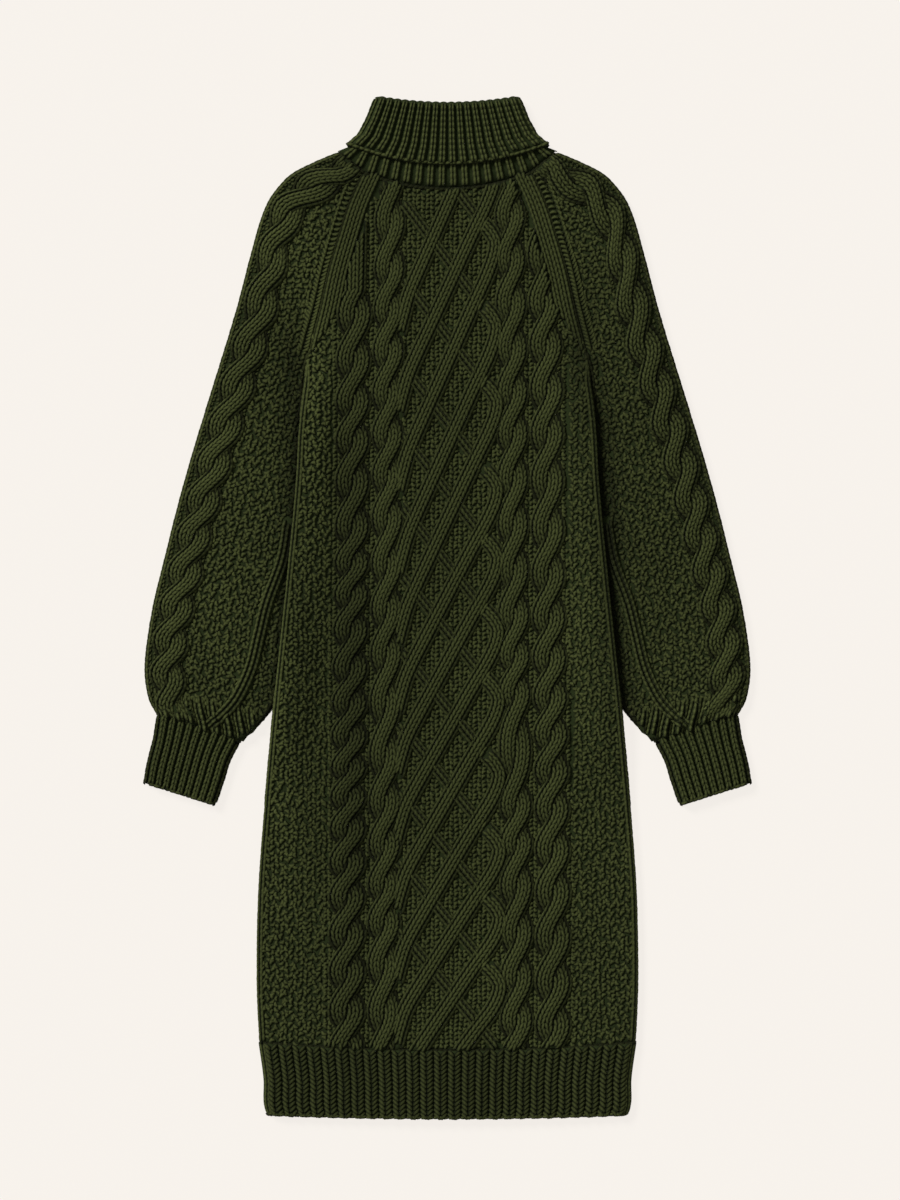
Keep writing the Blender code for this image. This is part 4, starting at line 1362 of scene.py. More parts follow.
def rope_legs(at, place, across, turn, path, keep):
    """The legs of both strands of a rope cable. place and across turn a share of its width
    into a distance over the cloth and back, and path has the places along it."""
    laid = []
    for strand in (0, 1):
        def mine(s, v, phase=strand * math.pi):
            return CABLE_RISE * strand_rise(across(s, v), turn(v) + phase)

        for number, (share, swing) in enumerate(COLUMNS):
            middle = -SWAY * np.cos(turn(path) + strand * math.pi) + STRAND * share
            s, v, heading = chain(at, place(middle, path), path, LEG_PITCH, 0.5 * (number // 2 % 2))
            other = CABLE_RISE * strand_rise(across(s, v), turn(v) + (strand + 1) * math.pi)
            above = mine(s, v) - other
            legs = lay(at, s, v, heading, mine, LEG, swing)
            # Painted shade: a leg that barely clears the other strand lies in the crevice where the strands
            # cross, so it is made darker.
            legs = legs._replace(tone=legs.tone - 0.58 * (1 - ease(above, -0.0003, 0.0017)))
            laid.append(kept(legs, (above > -0.0003) & keep(s, v)))
    return laid


BODY_PATH = np.linspace(HEM_SEAM_Y - 0.009, NECK_Y, 2400)


def panel_keep(s, v):
    """Where the front's own pattern shows: inside its seams, ends and raglan bands."""
    row = row_of(s, v, True)
    inside = (row > PANEL_ROWS[0] + 0.002) & (row < PANEL_ROWS[1] - 0.002)
    return inside & (from_edge(s, v) > band_width(v) + 0.0015)


for label, rope in zip("abcd", ROPES):
    knit(
        f"front_rope_{label}",
        rope_legs(
            body_at,
            lambda across, v, rope=rope: rope_place(rope, across, v),
            lambda s, v, rope=rope: rope_across(rope, s, v),
            lambda v, rope=rope: rope_turn(rope, v),
            BODY_PATH,
            panel_keep,
        ),
        knit_leg,
        brushed_wool,
    )


# %% Slanting strands
def line_legs(lines, half, offsets, rise, keep):
    """Legs in columns beside each line, in its own direction."""
    laid = []
    for xs, ys in lines:
        run = np.hypot(np.gradient(xs), np.gradient(ys))
        nx, ny = -np.gradient(ys) / run, np.gradient(xs) / run
        fine = np.linspace(0, len(xs) - 1, 500)
        at = np.arange(len(xs))
        for number, (share, swing) in enumerate(offsets):
            side_x = np.interp(fine, at, xs - nx * half * share)
            side_y = np.interp(fine, at, ys - ny * half * share)
            s = side_x * spread(side_y)
            s, v, heading = chain(body_at, s, side_y, LEG_PITCH, 0.5 * (number // 2 % 2))
            laid.append(kept(lay(body_at, s, v, heading, rise, LEG, swing), keep(s, v)))
    return laid


OVER_COLUMNS = [(-0.86, 0.03), (-0.43, 0.20), (0.0, -0.20), (0.43, 0.20), (0.86, -0.03)]
UNDER_COLUMNS = [(-0.66, 0.05), (0.0, -0.16), (0.66, 0.12)]


def beside_ropes(s, v):
    """Between the second and the third rope, and over no part of them that stands higher."""
    ropes = np.maximum(
        *(rope_rise(rope_across(rope, s, v), rope_turn(rope, v)) for rope in ROPES[1:3])
    )
    clear = np.maximum(over_rise(s, v), under_rise(s, v)) > CABLE_RISE * ropes - 0.0004
    return panel_keep(s, v) & clear & (in_middle(s, v) > 0.5)


def under_shown(s, v):
    return beside_ropes(s, v) & (over_rise(s, v) < UNDER_RISE)


knit(
    "front_slanting_strands",
    line_legs(OVER, STRAND_HALF, OVER_COLUMNS, over_rise, beside_ropes),
    knit_leg,
    brushed_wool,
)
knit(
    "front_under_strands",
    line_legs(UNDER, UNDER_HALF, UNDER_COLUMNS, under_rise, under_shown),
    knit_leg,
    brushed_wool,
)


# %% Purl ground and moss knit
def scatter(low, high, steps, rng, shake=0.17):
    """Places in staggered columns between two corners, each moved a little."""
    columns = np.arange(low[0], high[0], steps[0])
    rows = np.arange(low[1], high[1], steps[1])
    s, v = np.meshgrid(columns, rows)
    v = v + (np.arange(len(columns)) % 2) * steps[1] / 2
    odd = np.arange(len(columns))[None, :] % 2 + np.zeros(s.shape, int)
    s = s + rng.uniform(-shake, shake, s.shape) * steps[0]
    v = v + rng.uniform(-shake, shake, v.shape) * steps[1]
    return s.ravel(), v.ravel(), odd.ravel()


def purl(at, s, v, keep, rng, swing, size):
    """Bumps that run up the cloth, turned by swing, of about that size."""
    shown = keep(s, v)
    s, v, swing = s[shown], v[shown], swing[shown]
    sizes = np.array(size) * (1 + rng.uniform(-0.10, 0.10, (len(s), 3)))
    laid = lay(at, s, v, (0.0 * s, 1.0 + 0.0 * s), flat_rise, sizes, swing)
    return [laid._replace(tone=rng.uniform(-0.14, 0.14, len(s)) - 0.05)]


MOSS_STEPS = (0.0056, 0.0066)
MOSS = (0.0098, 0.0057, 0.0048)
GROUND_STEPS = (0.0056, 0.0052)
GROUND_BUMP = (0.0088, 0.0056, 0.0050)


def moss_swing(odd, rng):
    """Moss knit turns every stitch the other way from its neighbours."""
    swing = np.where(odd == 1, 0.52, -0.62) + rng.normal(0.0, 0.34, odd.shape)
    return swing + math.pi * rng.integers(0, 2, odd.shape)


def add_front_ground():
    rng = np.random.default_rng(11)
    left, right = ROPES[0].left - 0.004, ROPES[-1].right + 0.004
    s, v, odd = scatter((left, HEM_SEAM_Y - 0.01), (right, NECK_Y), GROUND_STEPS, rng)

    def shown(s, v):
        x = s / spread(v)
        return panel_keep(s, v) & (front_rise(s, v) < 0.0006) & (x > left) & (x < right)

    swing = np.where(odd == 1, 0.80, -0.80) + rng.uniform(-0.20, 0.20, s.shape)
    laid = purl(body_at, s, v, shown, rng, swing, GROUND_BUMP)
    knit("front_purl_ground", laid, purl_bump, brushed_wool)
    for name, side in (("right", -1), ("left", 1)):
        s, v, odd = scatter((0.120, HEM_SEAM_Y - 0.01), (0.240, 0.34), MOSS_STEPS, rng)
        edge = -left if side < 0 else right

        def beside(s, v):
            row = row_of(s, v, True)
            half = body_half(row)
            skin = (SKIN * math.pi / 2 - FOLD) * folded(row)
            inside = (np.abs(s) > edge * spread(v)) & (np.abs(s) < half - 0.0060 * folded(row))
            return inside & panel_keep(np.minimum(np.abs(s), half - 0.012), v)

        laid = purl(body_at, side * s, v, beside, rng, moss_swing(odd, rng), MOSS)
        knit(f"front_moss_{name}", laid, purl_bump, brushed_wool, seed=3)
    edges = []
    rows = np.linspace(HEM_ROWS[1] + 0.004, UNDERARM_Y - 0.010, 1500)
    for side in (-1, 1):
        for beyond in (-0.0052, -0.0006, 0.0038, -0.0014):
            at = back_at if beyond == -0.0014 else body_at
            s = side * (body_half(rows) + beyond * folded(rows))
            s, v, heading = chain(at, s, rows, LEG_PITCH, 40 * abs(beyond))
            edges.append(lay(at, s, v, heading, flat_rise, LEG)._replace(tone=0.0 * s - 0.08))
    knit("front_side_columns", edges, knit_leg, brushed_wool)


add_front_ground()


# %% Raglan bands
def raglan_legs(side):
    laid = []
    path = np.linspace(NECK_Y - 0.002, 0.296, 500)[::-1]
    for number in range(5):
        inward = 0.0028 + 0.0044 * number
        s = side * (body_half(path) - inward)
        cs, cv, heading = chain(body_at, s, path, LEG_PITCH, 0.5 * (number // 2 % 2))
        swing = (0.0, 0.16, -0.16, 0.16, -0.05)[number] * side

        def rise(s, v):
            return RAGLAN_RISE + 0.0 * s

        shown = from_edge(cs, cv) < band_width(cv) + 0.001
        legs = lay(body_at, cs, cv, heading, rise, LEG, swing)
        laid.append(kept(legs._replace(tone=0.0 * cs - 0.05), shown))
    return laid


knit("front_raglan_bands", raglan_legs(-1) + raglan_legs(1), knit_leg, brushed_wool)

# %% [markdown]
# ## Knitting the sleeves
# Each sleeve has one rope that hugs its outer fold, moss knit inside it, and short slanting
# strokes along the raglan seam. Near the cuff the knit is drawn together in small gathers. The
# same functions lay them on the sleeve's own surface. Where the body's edge lies on a sleeve, a
# deep crease keeps the light out, so the yarn beside it is darker.

# %% Where on a sleeve
SLEEVE_PATH = np.linspace(0.002, SLEEVE_LENGTH - 0.004, 1600)
FINE_BUMP = (0.0070, 0.0042, 0.0040)


def sleeve_chart(x, y):
    """The t and down of places on the upper layer of the wearer's left sleeve."""
    at = sleeve_at(1)
    t, down = np.meshgrid(np.linspace(0, 0.2, 41), np.linspace(0.3, SLEEVE_LENGTH, 83))
    t, down = t.ravel(), down.ravel()
    known = at(t, down, 0.0 * t)
    nearest = [np.argmin((known[:, 0] - px) ** 2 + (known[:, 1] - py) ** 2) for px, py in zip(x, y)]
    t, down = t[nearest], down[nearest]
    for _ in range(5):
        down = np.clip(down, 0.2, SLEEVE_LENGTH - 0.0015)
        t = np.clip(t, 0.0, sleeve_flat(down) - 0.002)
        here = at(t, down, 0.0 * t)
        by_t = (at(t + 0.001, down, 0.0 * t) - here) / 0.001
        by_down = (at(t, down + 0.001, 0.0 * t) - here) / 0.001
        miss_x, miss_y = x - here[:, 0], y - here[:, 1]
        turn = by_t[:, 0] * by_down[:, 1] - by_t[:, 1] * by_down[:, 0]
        t = t + (miss_x * by_down[:, 1] - miss_y * by_down[:, 0]) / turn
        down = down + (miss_y * by_t[:, 0] - miss_x * by_t[:, 1]) / turn
    return np.clip(t, 0.0, sleeve_flat(down)), np.clip(down, 0.2, SLEEVE_LENGTH - 0.0005)


def clear_of_body(at, t, down, side):
    """False where the body's edge lies over a sleeve."""
    place = at(t, down, flat_rise(t, down))
    y = place[:, 1]
    return side * place[:, 0] > body_half(y) - np.where(y < UNDERARM_Y, 0.003, -0.001)


def on_sleeve(t, down):
    return (down > 0.002) & (down < SLEEVE_LENGTH - 0.003)


def to_inner_edge(t, down):
    """How far a place lies from the sleeve's inner edge."""
    inner_y = np.interp(down, SLEEVE_DOWN, SLEEVE_ENDS[1])
    skin = FOLD + folded(inner_y) * (SKIN * math.pi / 2 - FOLD)
    return sleeve_flat(down) + skin - t


# %% Sleeve stitches
def painted_crease_shade(laid, side):
    """Painted shade: darker yarn in the deep crease where the body's edge lies over a sleeve, where little
    light reaches.
    """
    x, y = side * laid.place[:, 0], laid.place[:, 1]
    away = x - body_half(y)
    deep = (1 - ease(y, 0.200, 0.320)) * ease(y, -0.170, -0.120)
    dark = 0.44 * (1 - ease(away, 0.0, 0.036)) + 0.50 * (1 - ease(away, 0.0, 0.011))
    return laid._replace(tone=laid.tone - deep * dark)


def sleeve_bumps(at, side, t, down, shown, rise, rng, swing, size):
    t, down, swing = t[shown], down[shown], swing[shown]
    sizes = np.array(size) * (1 + rng.uniform(-0.10, 0.10, (len(t), 3)))
    laid = lay(at, t, down, (0.0 * t, 1.0 + 0.0 * t), rise, sizes, swing)
    laid = laid._replace(tone=laid.tone + rng.uniform(-0.14, 0.14, len(t)) + 0.46)
    return painted_crease_shade(laid, side)


def seam_chevrons(at, side):
    """The wide Vs that run down the sleeve beside its raglan seam."""
    downs = np.arange(0.004, 0.235, 0.0056)
    laid = []
    for lean in (-1, 1):
        t = sleeve_flat(downs) + FOLD - 0.0088 + 0.0040 * lean
        heading = (0.0 * t, 1.0 + 0.0 * t)
        legs = lay(at, t, downs, heading, flat_rise, (0.0124, 0.0052, 0.0062), 0.60 * lean * side)
        laid.append(legs._replace(tone=0.0 * t))
    return laid


def add_sleeve_knit(name, side):
    at = sleeve_at(side)

    def rise(t, down):
        return sleeve_rise(t, down, side)

    rope = rope_legs(
        at,
        lambda across, down: sleeve_place(across * side, down),
        lambda t, down: sleeve_across(t, down) * side,
        lambda down: -sleeve_turn(down),
        SLEEVE_PATH,
        on_sleeve,
    )
    knit(f"sleeve_{name}_rope", rope, knit_leg, brushed_wool)

    rng = np.random.default_rng(21)
    cable_end = CABLE_MARGIN + SLEEVE_CABLE
    t, down, odd = scatter((0.030, 0.002), (0.240, SLEEVE_LENGTH), MOSS_STEPS, rng)
    inside = (to_inner_edge(t, down) > np.where(down < 0.235, 0.0150, 0.0050)) & on_sleeve(t, down)
    inside &= down < SLEEVE_LENGTH - 0.030
    beside = (sleeve_across(t, down) < -1.03) & (line_rise(t, down) < 0.0008)
    shown = inside & beside & clear_of_body(at, t, down, side)
    swing = moss_swing(odd, rng)
    moss = sleeve_bumps(at, side, t, down, shown, rise, rng, swing, MOSS)
    knit(f"sleeve_{name}_moss", [moss], purl_bump, brushed_wool, seed=5)

    t, down, odd = scatter((0.0, 0.002), (cable_end + 0.002, SLEEVE_LENGTH), GROUND_STEPS, rng)
    bare = (sleeve_across(t, down) > -1.03) & on_sleeve(t, down)
    bare &= CABLE_RISE * rope_rise(sleeve_across(t, down) * side, -sleeve_turn(down)) < 0.0005
    swing = -0.6 + rng.uniform(-0.3, 0.3, t.shape)
    fine = sleeve_bumps(at, side, t, down, bare, rise, rng, swing, FINE_BUMP)
    fine = fine._replace(tone=fine.tone - 0.22)
    knit(f"sleeve_{name}_edge", [fine] + seam_chevrons(at, side), purl_bump, brushed_wool, seed=6)

    columns = []
    for t in (-0.0022, -0.0064, -0.0106):
        path = (t + 0 * SLEEVE_PATH, SLEEVE_PATH)
        t, down, heading = chain(at, *path, LEG_PITCH, 40 * abs(t))
        columns.append(lay(at, t, down, heading, flat_rise, LEG)._replace(tone=0.0 * t - 0.08))
    path = SLEEVE_PATH[SLEEVE_PATH > 0.240]
    for beyond in (-0.0040, 0.0004):
        t = sleeve_flat(path) + SKIN * math.pi / 2 - FOLD + beyond
        t, down, heading = chain(at, t, path, LEG_PITCH, 40 * abs(beyond))
        columns.append(painted_crease_shade(lay(at, t, down, heading, flat_rise, LEG), side))
    path = np.linspace(SLEEVE_LENGTH - 0.034, SLEEVE_LENGTH - 0.002, 60)
    for t in [(lump + 0.5 + beside) * GATHER_WIDTH for lump in range(9) for beside in (-0.3, 0, 0.3)]:
        bent = t - 30 * GATHER_WIDTH / math.tau * (path - SLEEVE_LENGTH)
        t, down, heading = chain(at, bent, path, 0.0066)
        legs = lay(at, t, down, heading, rise, LEG)
        beside = (to_inner_edge(t, down) > 0.0080) & (line_rise(t, down) < 0.0008)
        beside &= legs.up[:, 2] > 0.35
        legs = painted_crease_shade(legs._replace(tone=legs.tone + 0.25), side)
        roped = CABLE_RISE * rope_rise(sleeve_across(t, down) * side, -sleeve_turn(down)) > 0.0010
        columns.append(kept(legs, beside & ~(roped & (down < SLEEVE_LENGTH - 0.010))))
    knit(f"sleeve_{name}_gathers", columns, knit_leg, brushed_wool)

    xs, ys = LINE_XY
    run = np.hypot(np.gradient(xs), np.gradient(ys))
    laid = []
    for number, share in enumerate((-0.66, 0.0, 0.66)):
        offset = share * LINE_HALF
        lx, ly = xs - np.gradient(ys) / run * offset, ys + np.gradient(xs) / run * offset
        t, down, heading = chain(at, *sleeve_chart(lx, ly), LEG_PITCH, 0.5 * (number % 2))
        legs = painted_crease_shade(lay(at, t, down, heading, rise, LEG, (0.08, 0.0, -0.08)[number]), side)
        laid.append(kept(legs, clear_of_body(at, t, down, side) & on_sleeve(t, down)))
    knit(f"sleeve_{name}_line", laid, knit_leg, brushed_wool)


add_sleeve_knit("left", 1)
add_sleeve_knit("right", -1)

# %% [markdown]
# ## Ribs
# In a rib, columns of knit stitches stand up between columns of purl that draw back. The hem's
# ribs show whole Vs, one wide stitch each. The fine ribs of the cuffs and the roll neck are
# pulled so narrow that each shows as two steep rails of legs. A cord of legs laid end to end is
# the cast-off edge of each.

# %% Hem ribs
CHEVRON = (0.0122, 0.0052, 0.0052)
CHEVRON_PITCH = 0.0057
RAIL = (0.0116, 0.0044, 0.0050)
RAIL_PITCH = 0.0068
CAST_OFF = (0.0100, 0.0048, 0.0050)


def pressed(laid, depth):
    """The same stitches, further into the cloth, where the dress lies on them."""
    return [part._replace(place=part.place - part.up * depth) for part in laid]


def hem_legs(upper):
    at = body_at if upper else back_at
    laid = []
    rows = np.arange(HEM_ROWS[0] + 0.0030, HEM_ROWS[1] - 0.0015, CHEVRON_PITCH)
    for rib in range(HEM_RIBS):
        share = (rib + 0.5) / HEM_RIBS * 2 - 1
        flat = body_half(rows) - CLOTH / 2 - FOLD
        for lean in (-1, 1):
            s = flat * share + lean * 0.0038
            y = place_of(s, rows, upper)
            down = (0.0 * s, 0.0 * s - 1.0)
            swing = -0.80 * lean * (1 if upper else -1)
            legs = lay(at, s, y, down, hem_rise, CHEVRON, swing)
            laid.append(legs._replace(tone=legs.tone - 0.15))
    half = float(body_half(HEM_ROWS[0])) + SKIN * math.pi / 2 - FOLD - CLOTH / 2
    across = half * np.linspace(-0.985, 0.985, 400)
    s, y, heading = chain(at, across, place_of(across, HEM_ROWS[0] + 0.0010, upper), 0.0066)
    laid.append(lay(at, s, y, heading, hem_rise, CAST_OFF, 0.10)._replace(tone=0.0 * s - 0.10))
    path = np.linspace(HEM_ROWS[0] + 0.002, HEM_ROWS[1] - 0.001, 60)
    for side in (-1, 1):
        for beyond in (-0.0032, 0.0010, 0.0044) if upper else ():
            s = side * (body_half(path) - CLOTH / 2 + beyond)
            s, y, heading = chain(at, s, place_of(s, path, upper), LEG_PITCH, 40 * abs(beyond))
            laid.append(lay(at, s, y, heading, flat_rise, LEG)._replace(tone=0.0 * s - 0.05))
    return laid if upper else pressed(laid, RIB_RISE + GROUND)


knit("hem_front_ribs", hem_legs(True), knit_leg, brushed_wool)
knit("hem_back_ribs", hem_legs(False), low_bump, brushed_wool)


# %% Cuff ribs
CUFF_WIDTH, CUFF_LENGTH = 0.104, 0.080


def add_cuff_ribs(name, side):
    cuff = cuff_at(side)

    def at(s, v, h):
        return cuff(s / CUFF_WIDTH, v / CUFF_LENGTH, h)

    def rise(s, v):
        return rib_rise(ring_count(s / CUFF_WIDTH, CUFF_RIBS))

    path = np.linspace(0.0015, CUFF_LENGTH - 0.0015, 60)
    sides = ([], [])
    for layer in (0, 1):
        for rib in range(CUFF_RIBS):
            for lean in (-1, 1):
                c = 2 * layer + (rib + 0.5 + 0.145 * lean) / CUFF_RIBS
                s, v, heading = chain(at, c * CUFF_WIDTH + 0 * path, path, RAIL_PITCH)
                sides[layer].append(lay(at, s, v, heading, rise, RAIL, 0.16 * lean * side))
        round_it = (2 * layer + np.linspace(0.01, 0.99, 100)) * CUFF_WIDTH
        s, v, heading = chain(at, round_it, CUFF_LENGTH - 0.0012 + 0 * round_it, 0.0066)
        legs = lay(at, s, v, heading, rise, CAST_OFF, 0.10)
        sides[layer].append(legs._replace(tone=0.0 * s - 0.10))
    laid = sides[0] + pressed(sides[1], RIB_RISE + GROUND)
    for turn in (1, 3):
        for share in (0.2, 0.5, 0.8):
            c = turn + share
            s, v, heading = chain(at, c * CUFF_WIDTH + 0 * path, path, RAIL_PITCH, share)
            laid.append(lay(at, s, v, heading, flat_rise, RAIL))
    knit(f"cuff_{name}_ribs", laid, knit_leg, brushed_wool, seed=7)


add_cuff_ribs("left", 1)
add_cuff_ribs("right", -1)


# %% Roll neck ribs
NECK_WIDTH, RING_STEP = 0.200, 0.020


def stand_at(s, v, h):
    return collar_at(s / NECK_WIDTH, v / RING_STEP, h)


def turned_at(s, v, h):
    return collar_at(s / NECK_WIDTH, v / RING_STEP, -RIB_CLOTH - h)


def neck_rise(s, v):
    return rib_rise(ring_count(s / NECK_WIDTH, COLLAR_RIBS)) * ease(v / RING_STEP, 4.0, 7.0)


def band_rise(s, v):
    return 0.45 * rib_rise(ring_count(s / NECK_WIDTH, COLLAR_RIBS))


def sunk(s, v):
    return -0.0014 + 0.0 * (s + v)


RING_HALVES = [line[0] for line in collar_lines(np.zeros(1))]


def neck_legs(at, first, last, rise, sides=(0.15, 0.5, 0.85)):
    """Two rails to a rib, wider where the neck is wider, and some sunk up each turned side."""
    laid = []
    path = np.linspace(first, last, 120) * RING_STEP
    ribs = [2 * layer + (rib + 0.5 + 0.145 * lean) / COLLAR_RIBS
            for layer in (0, 1) for rib in range(COLLAR_RIBS) for lean in (-1, 1)]
    columns = [(c, rise) for c in ribs]
    columns += [(turn + share, sunk) for turn in (1, 3) for share in sides]
    for c, rise in columns:
        s, v, heading = chain(at, c * NECK_WIDTH + 0 * path, path, RAIL_PITCH)
        half = np.interp(v / RING_STEP, np.arange(COLLAR_RINGS), RING_HALVES)
        widths = 0.72 * half / COLLAR_RIBS
        sizes = np.stack([0 * s + RAIL[0], widths, 0 * s + RAIL[2]], -1)
        legs = lay(at, s, v, heading, rise, sizes)
        laid.append(legs._replace(tone=0.0 * s + 0.16))
    return laid


def edge_cord(at, s, v, rise=flat_rise):
    """The cast-off edge: legs end to end along it."""
    s, v, heading = chain(at, s, v, 0.0070)
    legs = lay(at, s, v, heading, rise, (0.0120, 0.0052, 0.0064), 0.06)
    return legs._replace(tone=0.0 * s + 0.10)


turned = neck_legs(turned_at, FIRST_TURNED + 0.10, COLLAR_RINGS - 1.14, neck_rise)
for start in (0, 2):
    round_it = (start + np.linspace(-0.10, 1.02, 240)) * NECK_WIDTH
    turned.append(edge_cord(turned_at, round_it, (COLLAR_RINGS - 1.03) * RING_STEP + 0 * round_it))
knit("neck_turned_ribs", turned, knit_leg, brushed_wool)
knit("neck_band_ribs", neck_legs(stand_at, 0.22, 1.9, band_rise, ()), knit_leg, brushed_wool)

# %% [markdown]
# ## Seams
# The pieces are joined with the same yarn, drawn tight, so a seam is a thin cord that lies
# lower than the knit on both sides of it. It also closes the narrow gap between two shells.

# %% Seam yarn
SEAM_YARN = (0.0110, 0.0050, 0.0052)


def seam(at, s, v, swing=0.12):
    """Legs end to end along a path, low in the cloth, with the painted shade of a furrow and a little more
    darkening.
    """
    def low(s, v):
        return -0.0004 + 0.0 * (s + v)

    s, v, heading = chain(at, s, v, 0.0062)
    legs = lay(at, s, v, heading, low, SEAM_YARN, swing)
    return legs._replace(tone=legs.tone - 0.15)


def level_at(s, v, h):
    """Places over the front in plain x and y, at the level of its skin."""
    return np.stack([s, v, FRONT_MID + CLOTH / 2 + h + 0 * s], -1)


def add_seams():
    raglan = np.linspace(0.262, NECK_Y - 0.001, 240)
    shares = np.linspace(-1, 1, 300)
    half = float(body_half(HEM_SEAM_Y)) + SKIN * math.pi / 2 - FOLD - CLOTH / 2
    hem = half * shares
    front, back = [], []
    for side in (-1, 1):
        front.append(seam(level_at, side * (body_half(raglan) + SEAM_GAP / 2), raglan))
        back.append(seam(back_at, side * body_half(raglan), raglan))
    front.append(seam(body_at, hem, place_of(hem, HEM_SEAM_Y, True)))
    back.append(seam(back_at, hem, place_of(hem, HEM_SEAM_Y, False)))
    knit("front_seams", front, knit_leg, brushed_wool)
    knit("back_moss_seams", pressed(back, GROUND), low_bump, brushed_wool)
    round_it = np.linspace(0.0, 4.0, 600)
    over_back = np.linspace(2.03, 2.97, 200)
    laid = [seam(stand_at, over_back * NECK_WIDTH, 0.0002 + 0 * over_back)]
    shares = np.linspace(-0.976, 0.990, 300)  # its last legs end at the corners
    laid.append(seam(level_at, shares * NECK_SIDE_X, neckline(shares, True) + SEAM_GAP / 2))
    knit("neck_seam", laid, knit_leg, brushed_wool)
    for name, side in (("left", 1), ("right", -1)):
        cuff = cuff_at(side)

        def at(s, v, h):
            return cuff(s / CUFF_WIDTH, v / CUFF_LENGTH, h)

        laid = [seam(at, round_it * CUFF_WIDTH, 0.0002 + 0 * round_it)]
        knit(f"cuff_{name}_seam", laid, knit_leg, brushed_wool)


add_seams()

# %% [markdown]
# ## The back
# The back is moss knit all over. It lies on the floor, so its stitches are pressed flat, and
# since only a look from below shows them, each has few faces.


# %% The side that lies down
BACK_STEPS = (0.0077, 0.0096)
BACK_BUMP = (0.0112, 0.0072, 0.0050)


def add_back_moss():
    rng = np.random.default_rng(31)
    s, v, odd = scatter((-0.236, HEM_SEAM_Y - 0.01), (0.236, NECK_Y + 0.01), BACK_STEPS, rng)

    def shown(s, v):
        row = row_of(s, v, False)
        inside = (row > PANEL_ROWS[0] + 0.002) & (row < PANEL_ROWS[1] - 0.002)
        return inside & (np.abs(s) < body_half(row) - 0.003)

    laid = purl(back_at, s, v, shown, rng, moss_swing(odd, rng), BACK_BUMP)
    knit("back_moss", pressed(laid, GROUND), low_bump, brushed_wool, seed=9)
    for name, side in (("left", 1), ("right", -1)):
        t, down, odd = scatter((0.001, 0.010), (0.240, SLEEVE_LENGTH - 0.003), BACK_STEPS, rng)
        inside = (t < sleeve_flat(down)) & (down > 0.004) & (down < SLEEVE_LENGTH - 0.003)
        t, down, odd = -t[inside] - math.pi * SKIN, down[inside], odd[inside]
        swing = moss_swing(odd, rng)
        laid = lay(sleeve_at(side), t, down, (0.0 * t, 1.0 + 0.0 * t), flat_rise, BACK_BUMP, swing)
        laid = laid._replace(tone=rng.uniform(-0.12, 0.12, len(t)) - 0.05)
        knit(f"sleeve_{name}_under_moss", pressed([laid], GROUND), low_bump, brushed_wool, seed=9)


add_back_moss()

# %% [markdown]
# ## Floor, light and camera
# The dress lies on a plain pale floor under one big soft light from the upper left, with a
# pale sky filling its shadows, and the camera looks straight down on it.

# %% Floor
def add_floor():
    mesh = bpy.data.meshes.new("studio_floor")
    reach, level = 6.0, -0.0006
    corners = [(-reach, -reach, level), (reach, -reach, level), (reach, reach, level), (-reach, reach, level)]
    mesh.from_pydata(corners, [], [(0, 1, 2, 3)])
    made = bpy.data.objects.new("studio_floor", mesh)
    bpy.context.scene.collection.objects.link(made)
    paper = bpy.data.materials.new("matte_cream_paper")
    paper.use_nodes = True
    shader = paper.node_tree.nodes["Principled BSDF"]
    shader.inputs["Base Color"].default_value = linear("#4D4B48")
    shader.inputs["Roughness"].default_value = 0.9
    shader.inputs["Specular IOR Level"].default_value = 0.1
    shader.inputs["Emission Color"].default_value = linear("#F7F2EC")
    shader.inputs["Emission Strength"].default_value = 0.925
    mesh.materials.append(paper)
    return made


floor = add_floor()

# %% Light and camera
key_light = bpy.data.objects.new("key_light", bpy.data.lights.new("key_light", "SUN"))
key_light.data.energy = 3.7
key_light.data.angle = math.radians(18)
key_light.data.color = (1.0, 0.99, 0.975)
key_light.location = (-2.0, 1.7, 1.8)
aim = mathutils.Vector((0.0, 0.0, 0.0)) - key_light.location
key_light.rotation_euler = aim.to_track_quat("-Z", "Y").to_euler()
bpy.context.scene.collection.objects.link(key_light)

sky = bpy.data.worlds.new("pale_sky")
sky.use_nodes = True
sky.node_tree.nodes["Background"].inputs["Color"].default_value = (1.0, 0.99, 0.975, 1.0)
sky.node_tree.nodes["Background"].inputs["Strength"].default_value = 0.28
bpy.context.scene.world = sky

camera = bpy.data.objects.new("camera", bpy.data.cameras.new("camera"))
camera.data.lens = 100.0
camera.data.sensor_width = 36.0
camera.data.sensor_fit = "VERTICAL"
camera.data.sensor_height = 36.0
camera.location = (0.0030, 0.0084, 4.0)
camera.rotation_euler = (0.0, 0.0, 0.0)
bpy.context.scene.collection.objects.link(camera)
bpy.context.scene.camera = camera
bpy.context.scene.view_settings.view_transform = "Standard"

# %% [markdown]
# ## Handing the pieces over
# Every piece rides on the one rigid body. A shell stands for the solid of the same name, which
# is hidden, and the size that it was knitted to before the dress was laid out is printed: a
# tube's width is all the way round it. Its stitches go with it.

# %% Flat sizes
def flat_panel(upper):
    """Width, length and area of a body panel, from fold to fold along the skin."""
    rows = np.linspace(*PANEL_ROWS, 200)
    skin = folded(rows) * (SKIN * math.pi / 2 - FOLD)
    across = 2 * (body_half(rows) + skin)
    neck = place_of(0.0, NECK_Y, upper) - NECK_Y
    area = np.trapz(across, rows) + (HEM_SEAM_DIP + neck) * 2 / 3 * across.mean()
    return float(across.max()), float(np.ptp(rows) + HEM_SEAM_DIP + max(neck, 0)), float(area)


def flat_hem():
    rows = np.linspace(*HEM_ROWS, 50)
    across = 2 * (body_half(rows) + SKIN * math.pi / 2)
    return float(across.max()), float(np.ptp(rows)), float(np.trapz(across, rows))


def flat_sleeve():
    around = 2 * (sleeve_flat(SLEEVE_DOWN) + math.pi * SKIN)
    return float(around.max()), SLEEVE_LENGTH, float(np.trapz(around, SLEEVE_DOWN))


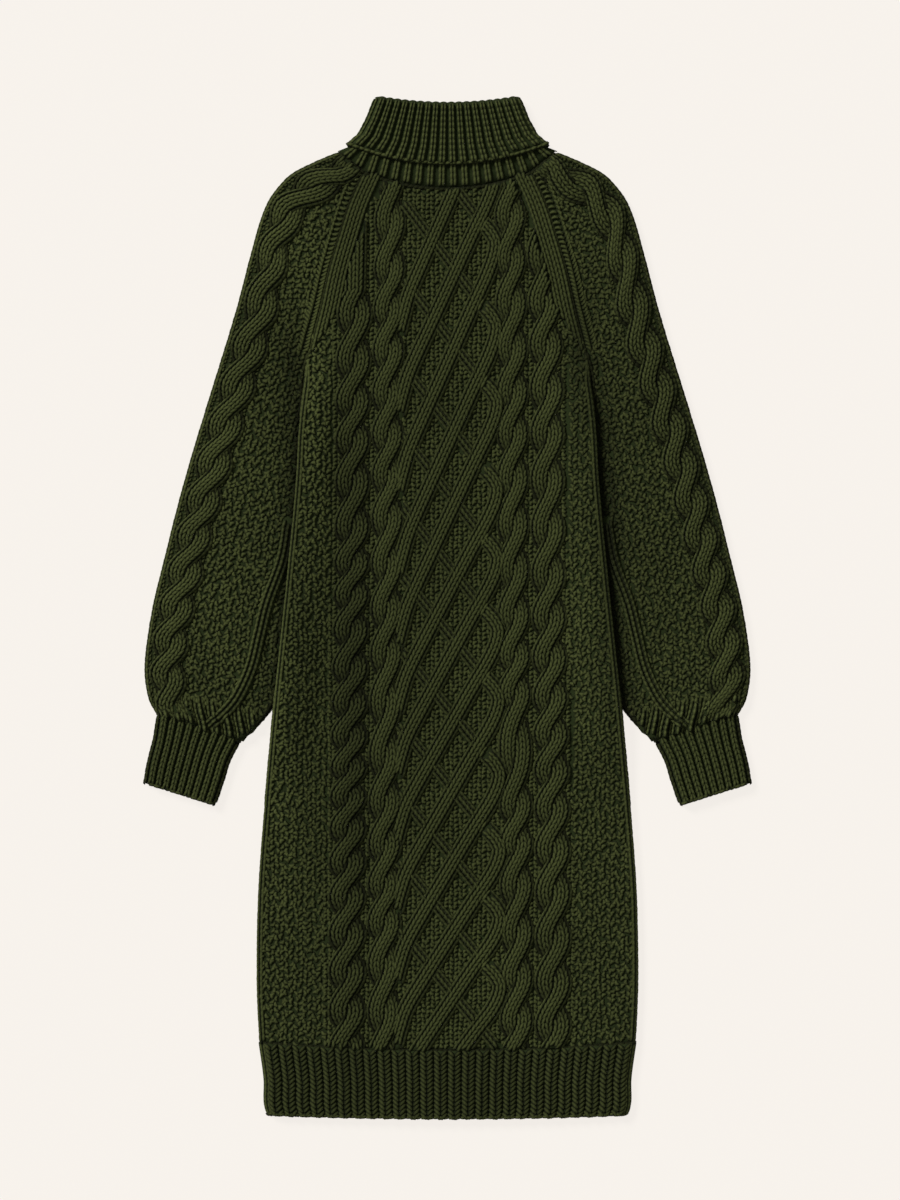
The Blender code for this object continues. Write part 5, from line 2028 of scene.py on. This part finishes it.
def flat_cuff():
    widths = [math.dist(row[:2], row[2:]) for row in CUFF]
    around = 2 * max(widths)
    length = sum(
        math.dist(np.add(a[:2], a[2:]) / 2, np.add(b[:2], b[2:]) / 2) for a, b in zip(CUFF, CUFF[1:])
    )
    return around, length, 2 * float(np.mean(widths)) * length


def flat_neck():
    """Round the roll neck, and from its seam over its fold to its loose edge."""
    c = np.linspace(0, 4, 161)
    rings = [collar_middle(c, v + 0 * c) for v in np.arange(COLLAR_RINGS - 1 + 1e-6)[:-1]]
    rings.append(collar_middle(c, COLLAR_RINGS - 1 - 1e-6 + 0 * c))
    round_it = [np.linalg.norm(np.diff(ring, axis=0), axis=1).sum() for ring in rings]
    steps = [np.linalg.norm(b - a, axis=1).mean() for a, b in zip(rings, rings[1:])]
    area = sum(s * (a + b) / 2 for s, a, b in zip(steps, round_it, round_it[1:]))
    return float(max(round_it)), float(sum(steps)), float(area)


# %% Riding and replacing
NODE_PIECES = {
    "front": (front_shell, flat_panel(True), "front_", ["back", "sleeve_left", "sleeve_right"]),
    "back": (back_shell, flat_panel(False), "back_moss", ["studio_floor"]),
    "hem_front": (hem_shells[0], flat_hem(), "hem_front_ribs", ["hem_back"]),
    "hem_back": (hem_shells[1], flat_hem(), "hem_back_ribs", ["studio_floor"]),
    "sleeve_left": (sleeve_shells[1], flat_sleeve(), "sleeve_left", ["studio_floor"]),
    "sleeve_right": (sleeve_shells[-1], flat_sleeve(), "sleeve_right", ["studio_floor"]),
    "cuff_left": (cuff_shells[1], flat_cuff(), "cuff_left", ["studio_floor"]),
    "cuff_right": (cuff_shells[-1], flat_cuff(), "cuff_right", ["studio_floor"]),
    "collar": (collar_shell, flat_neck(), "neck_", ["studio_floor"]),
}
for leg in (knit_leg, purl_bump, low_bump):
    bpy.data.objects.remove(leg)
total = 0
for node, (shell, (width, length, area), start, under) in NODE_PIECES.items():
    shell.data.materials.append(wool_ground_painted_shade)
    knitted = [piece for name, piece in made_stitches.items() if name.startswith(start)]
    for piece in [shell] + knitted:
        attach(piece, "root")
        total += sum(len(face.vertices) - 2 for face in piece.data.polygons)
    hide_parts(node)
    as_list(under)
    print(f"{node}: {width * 1000:.0f} x {length * 1000:.0f} mm, {len(knitted)} pieces of stitches")
print("triangles in all:", total)
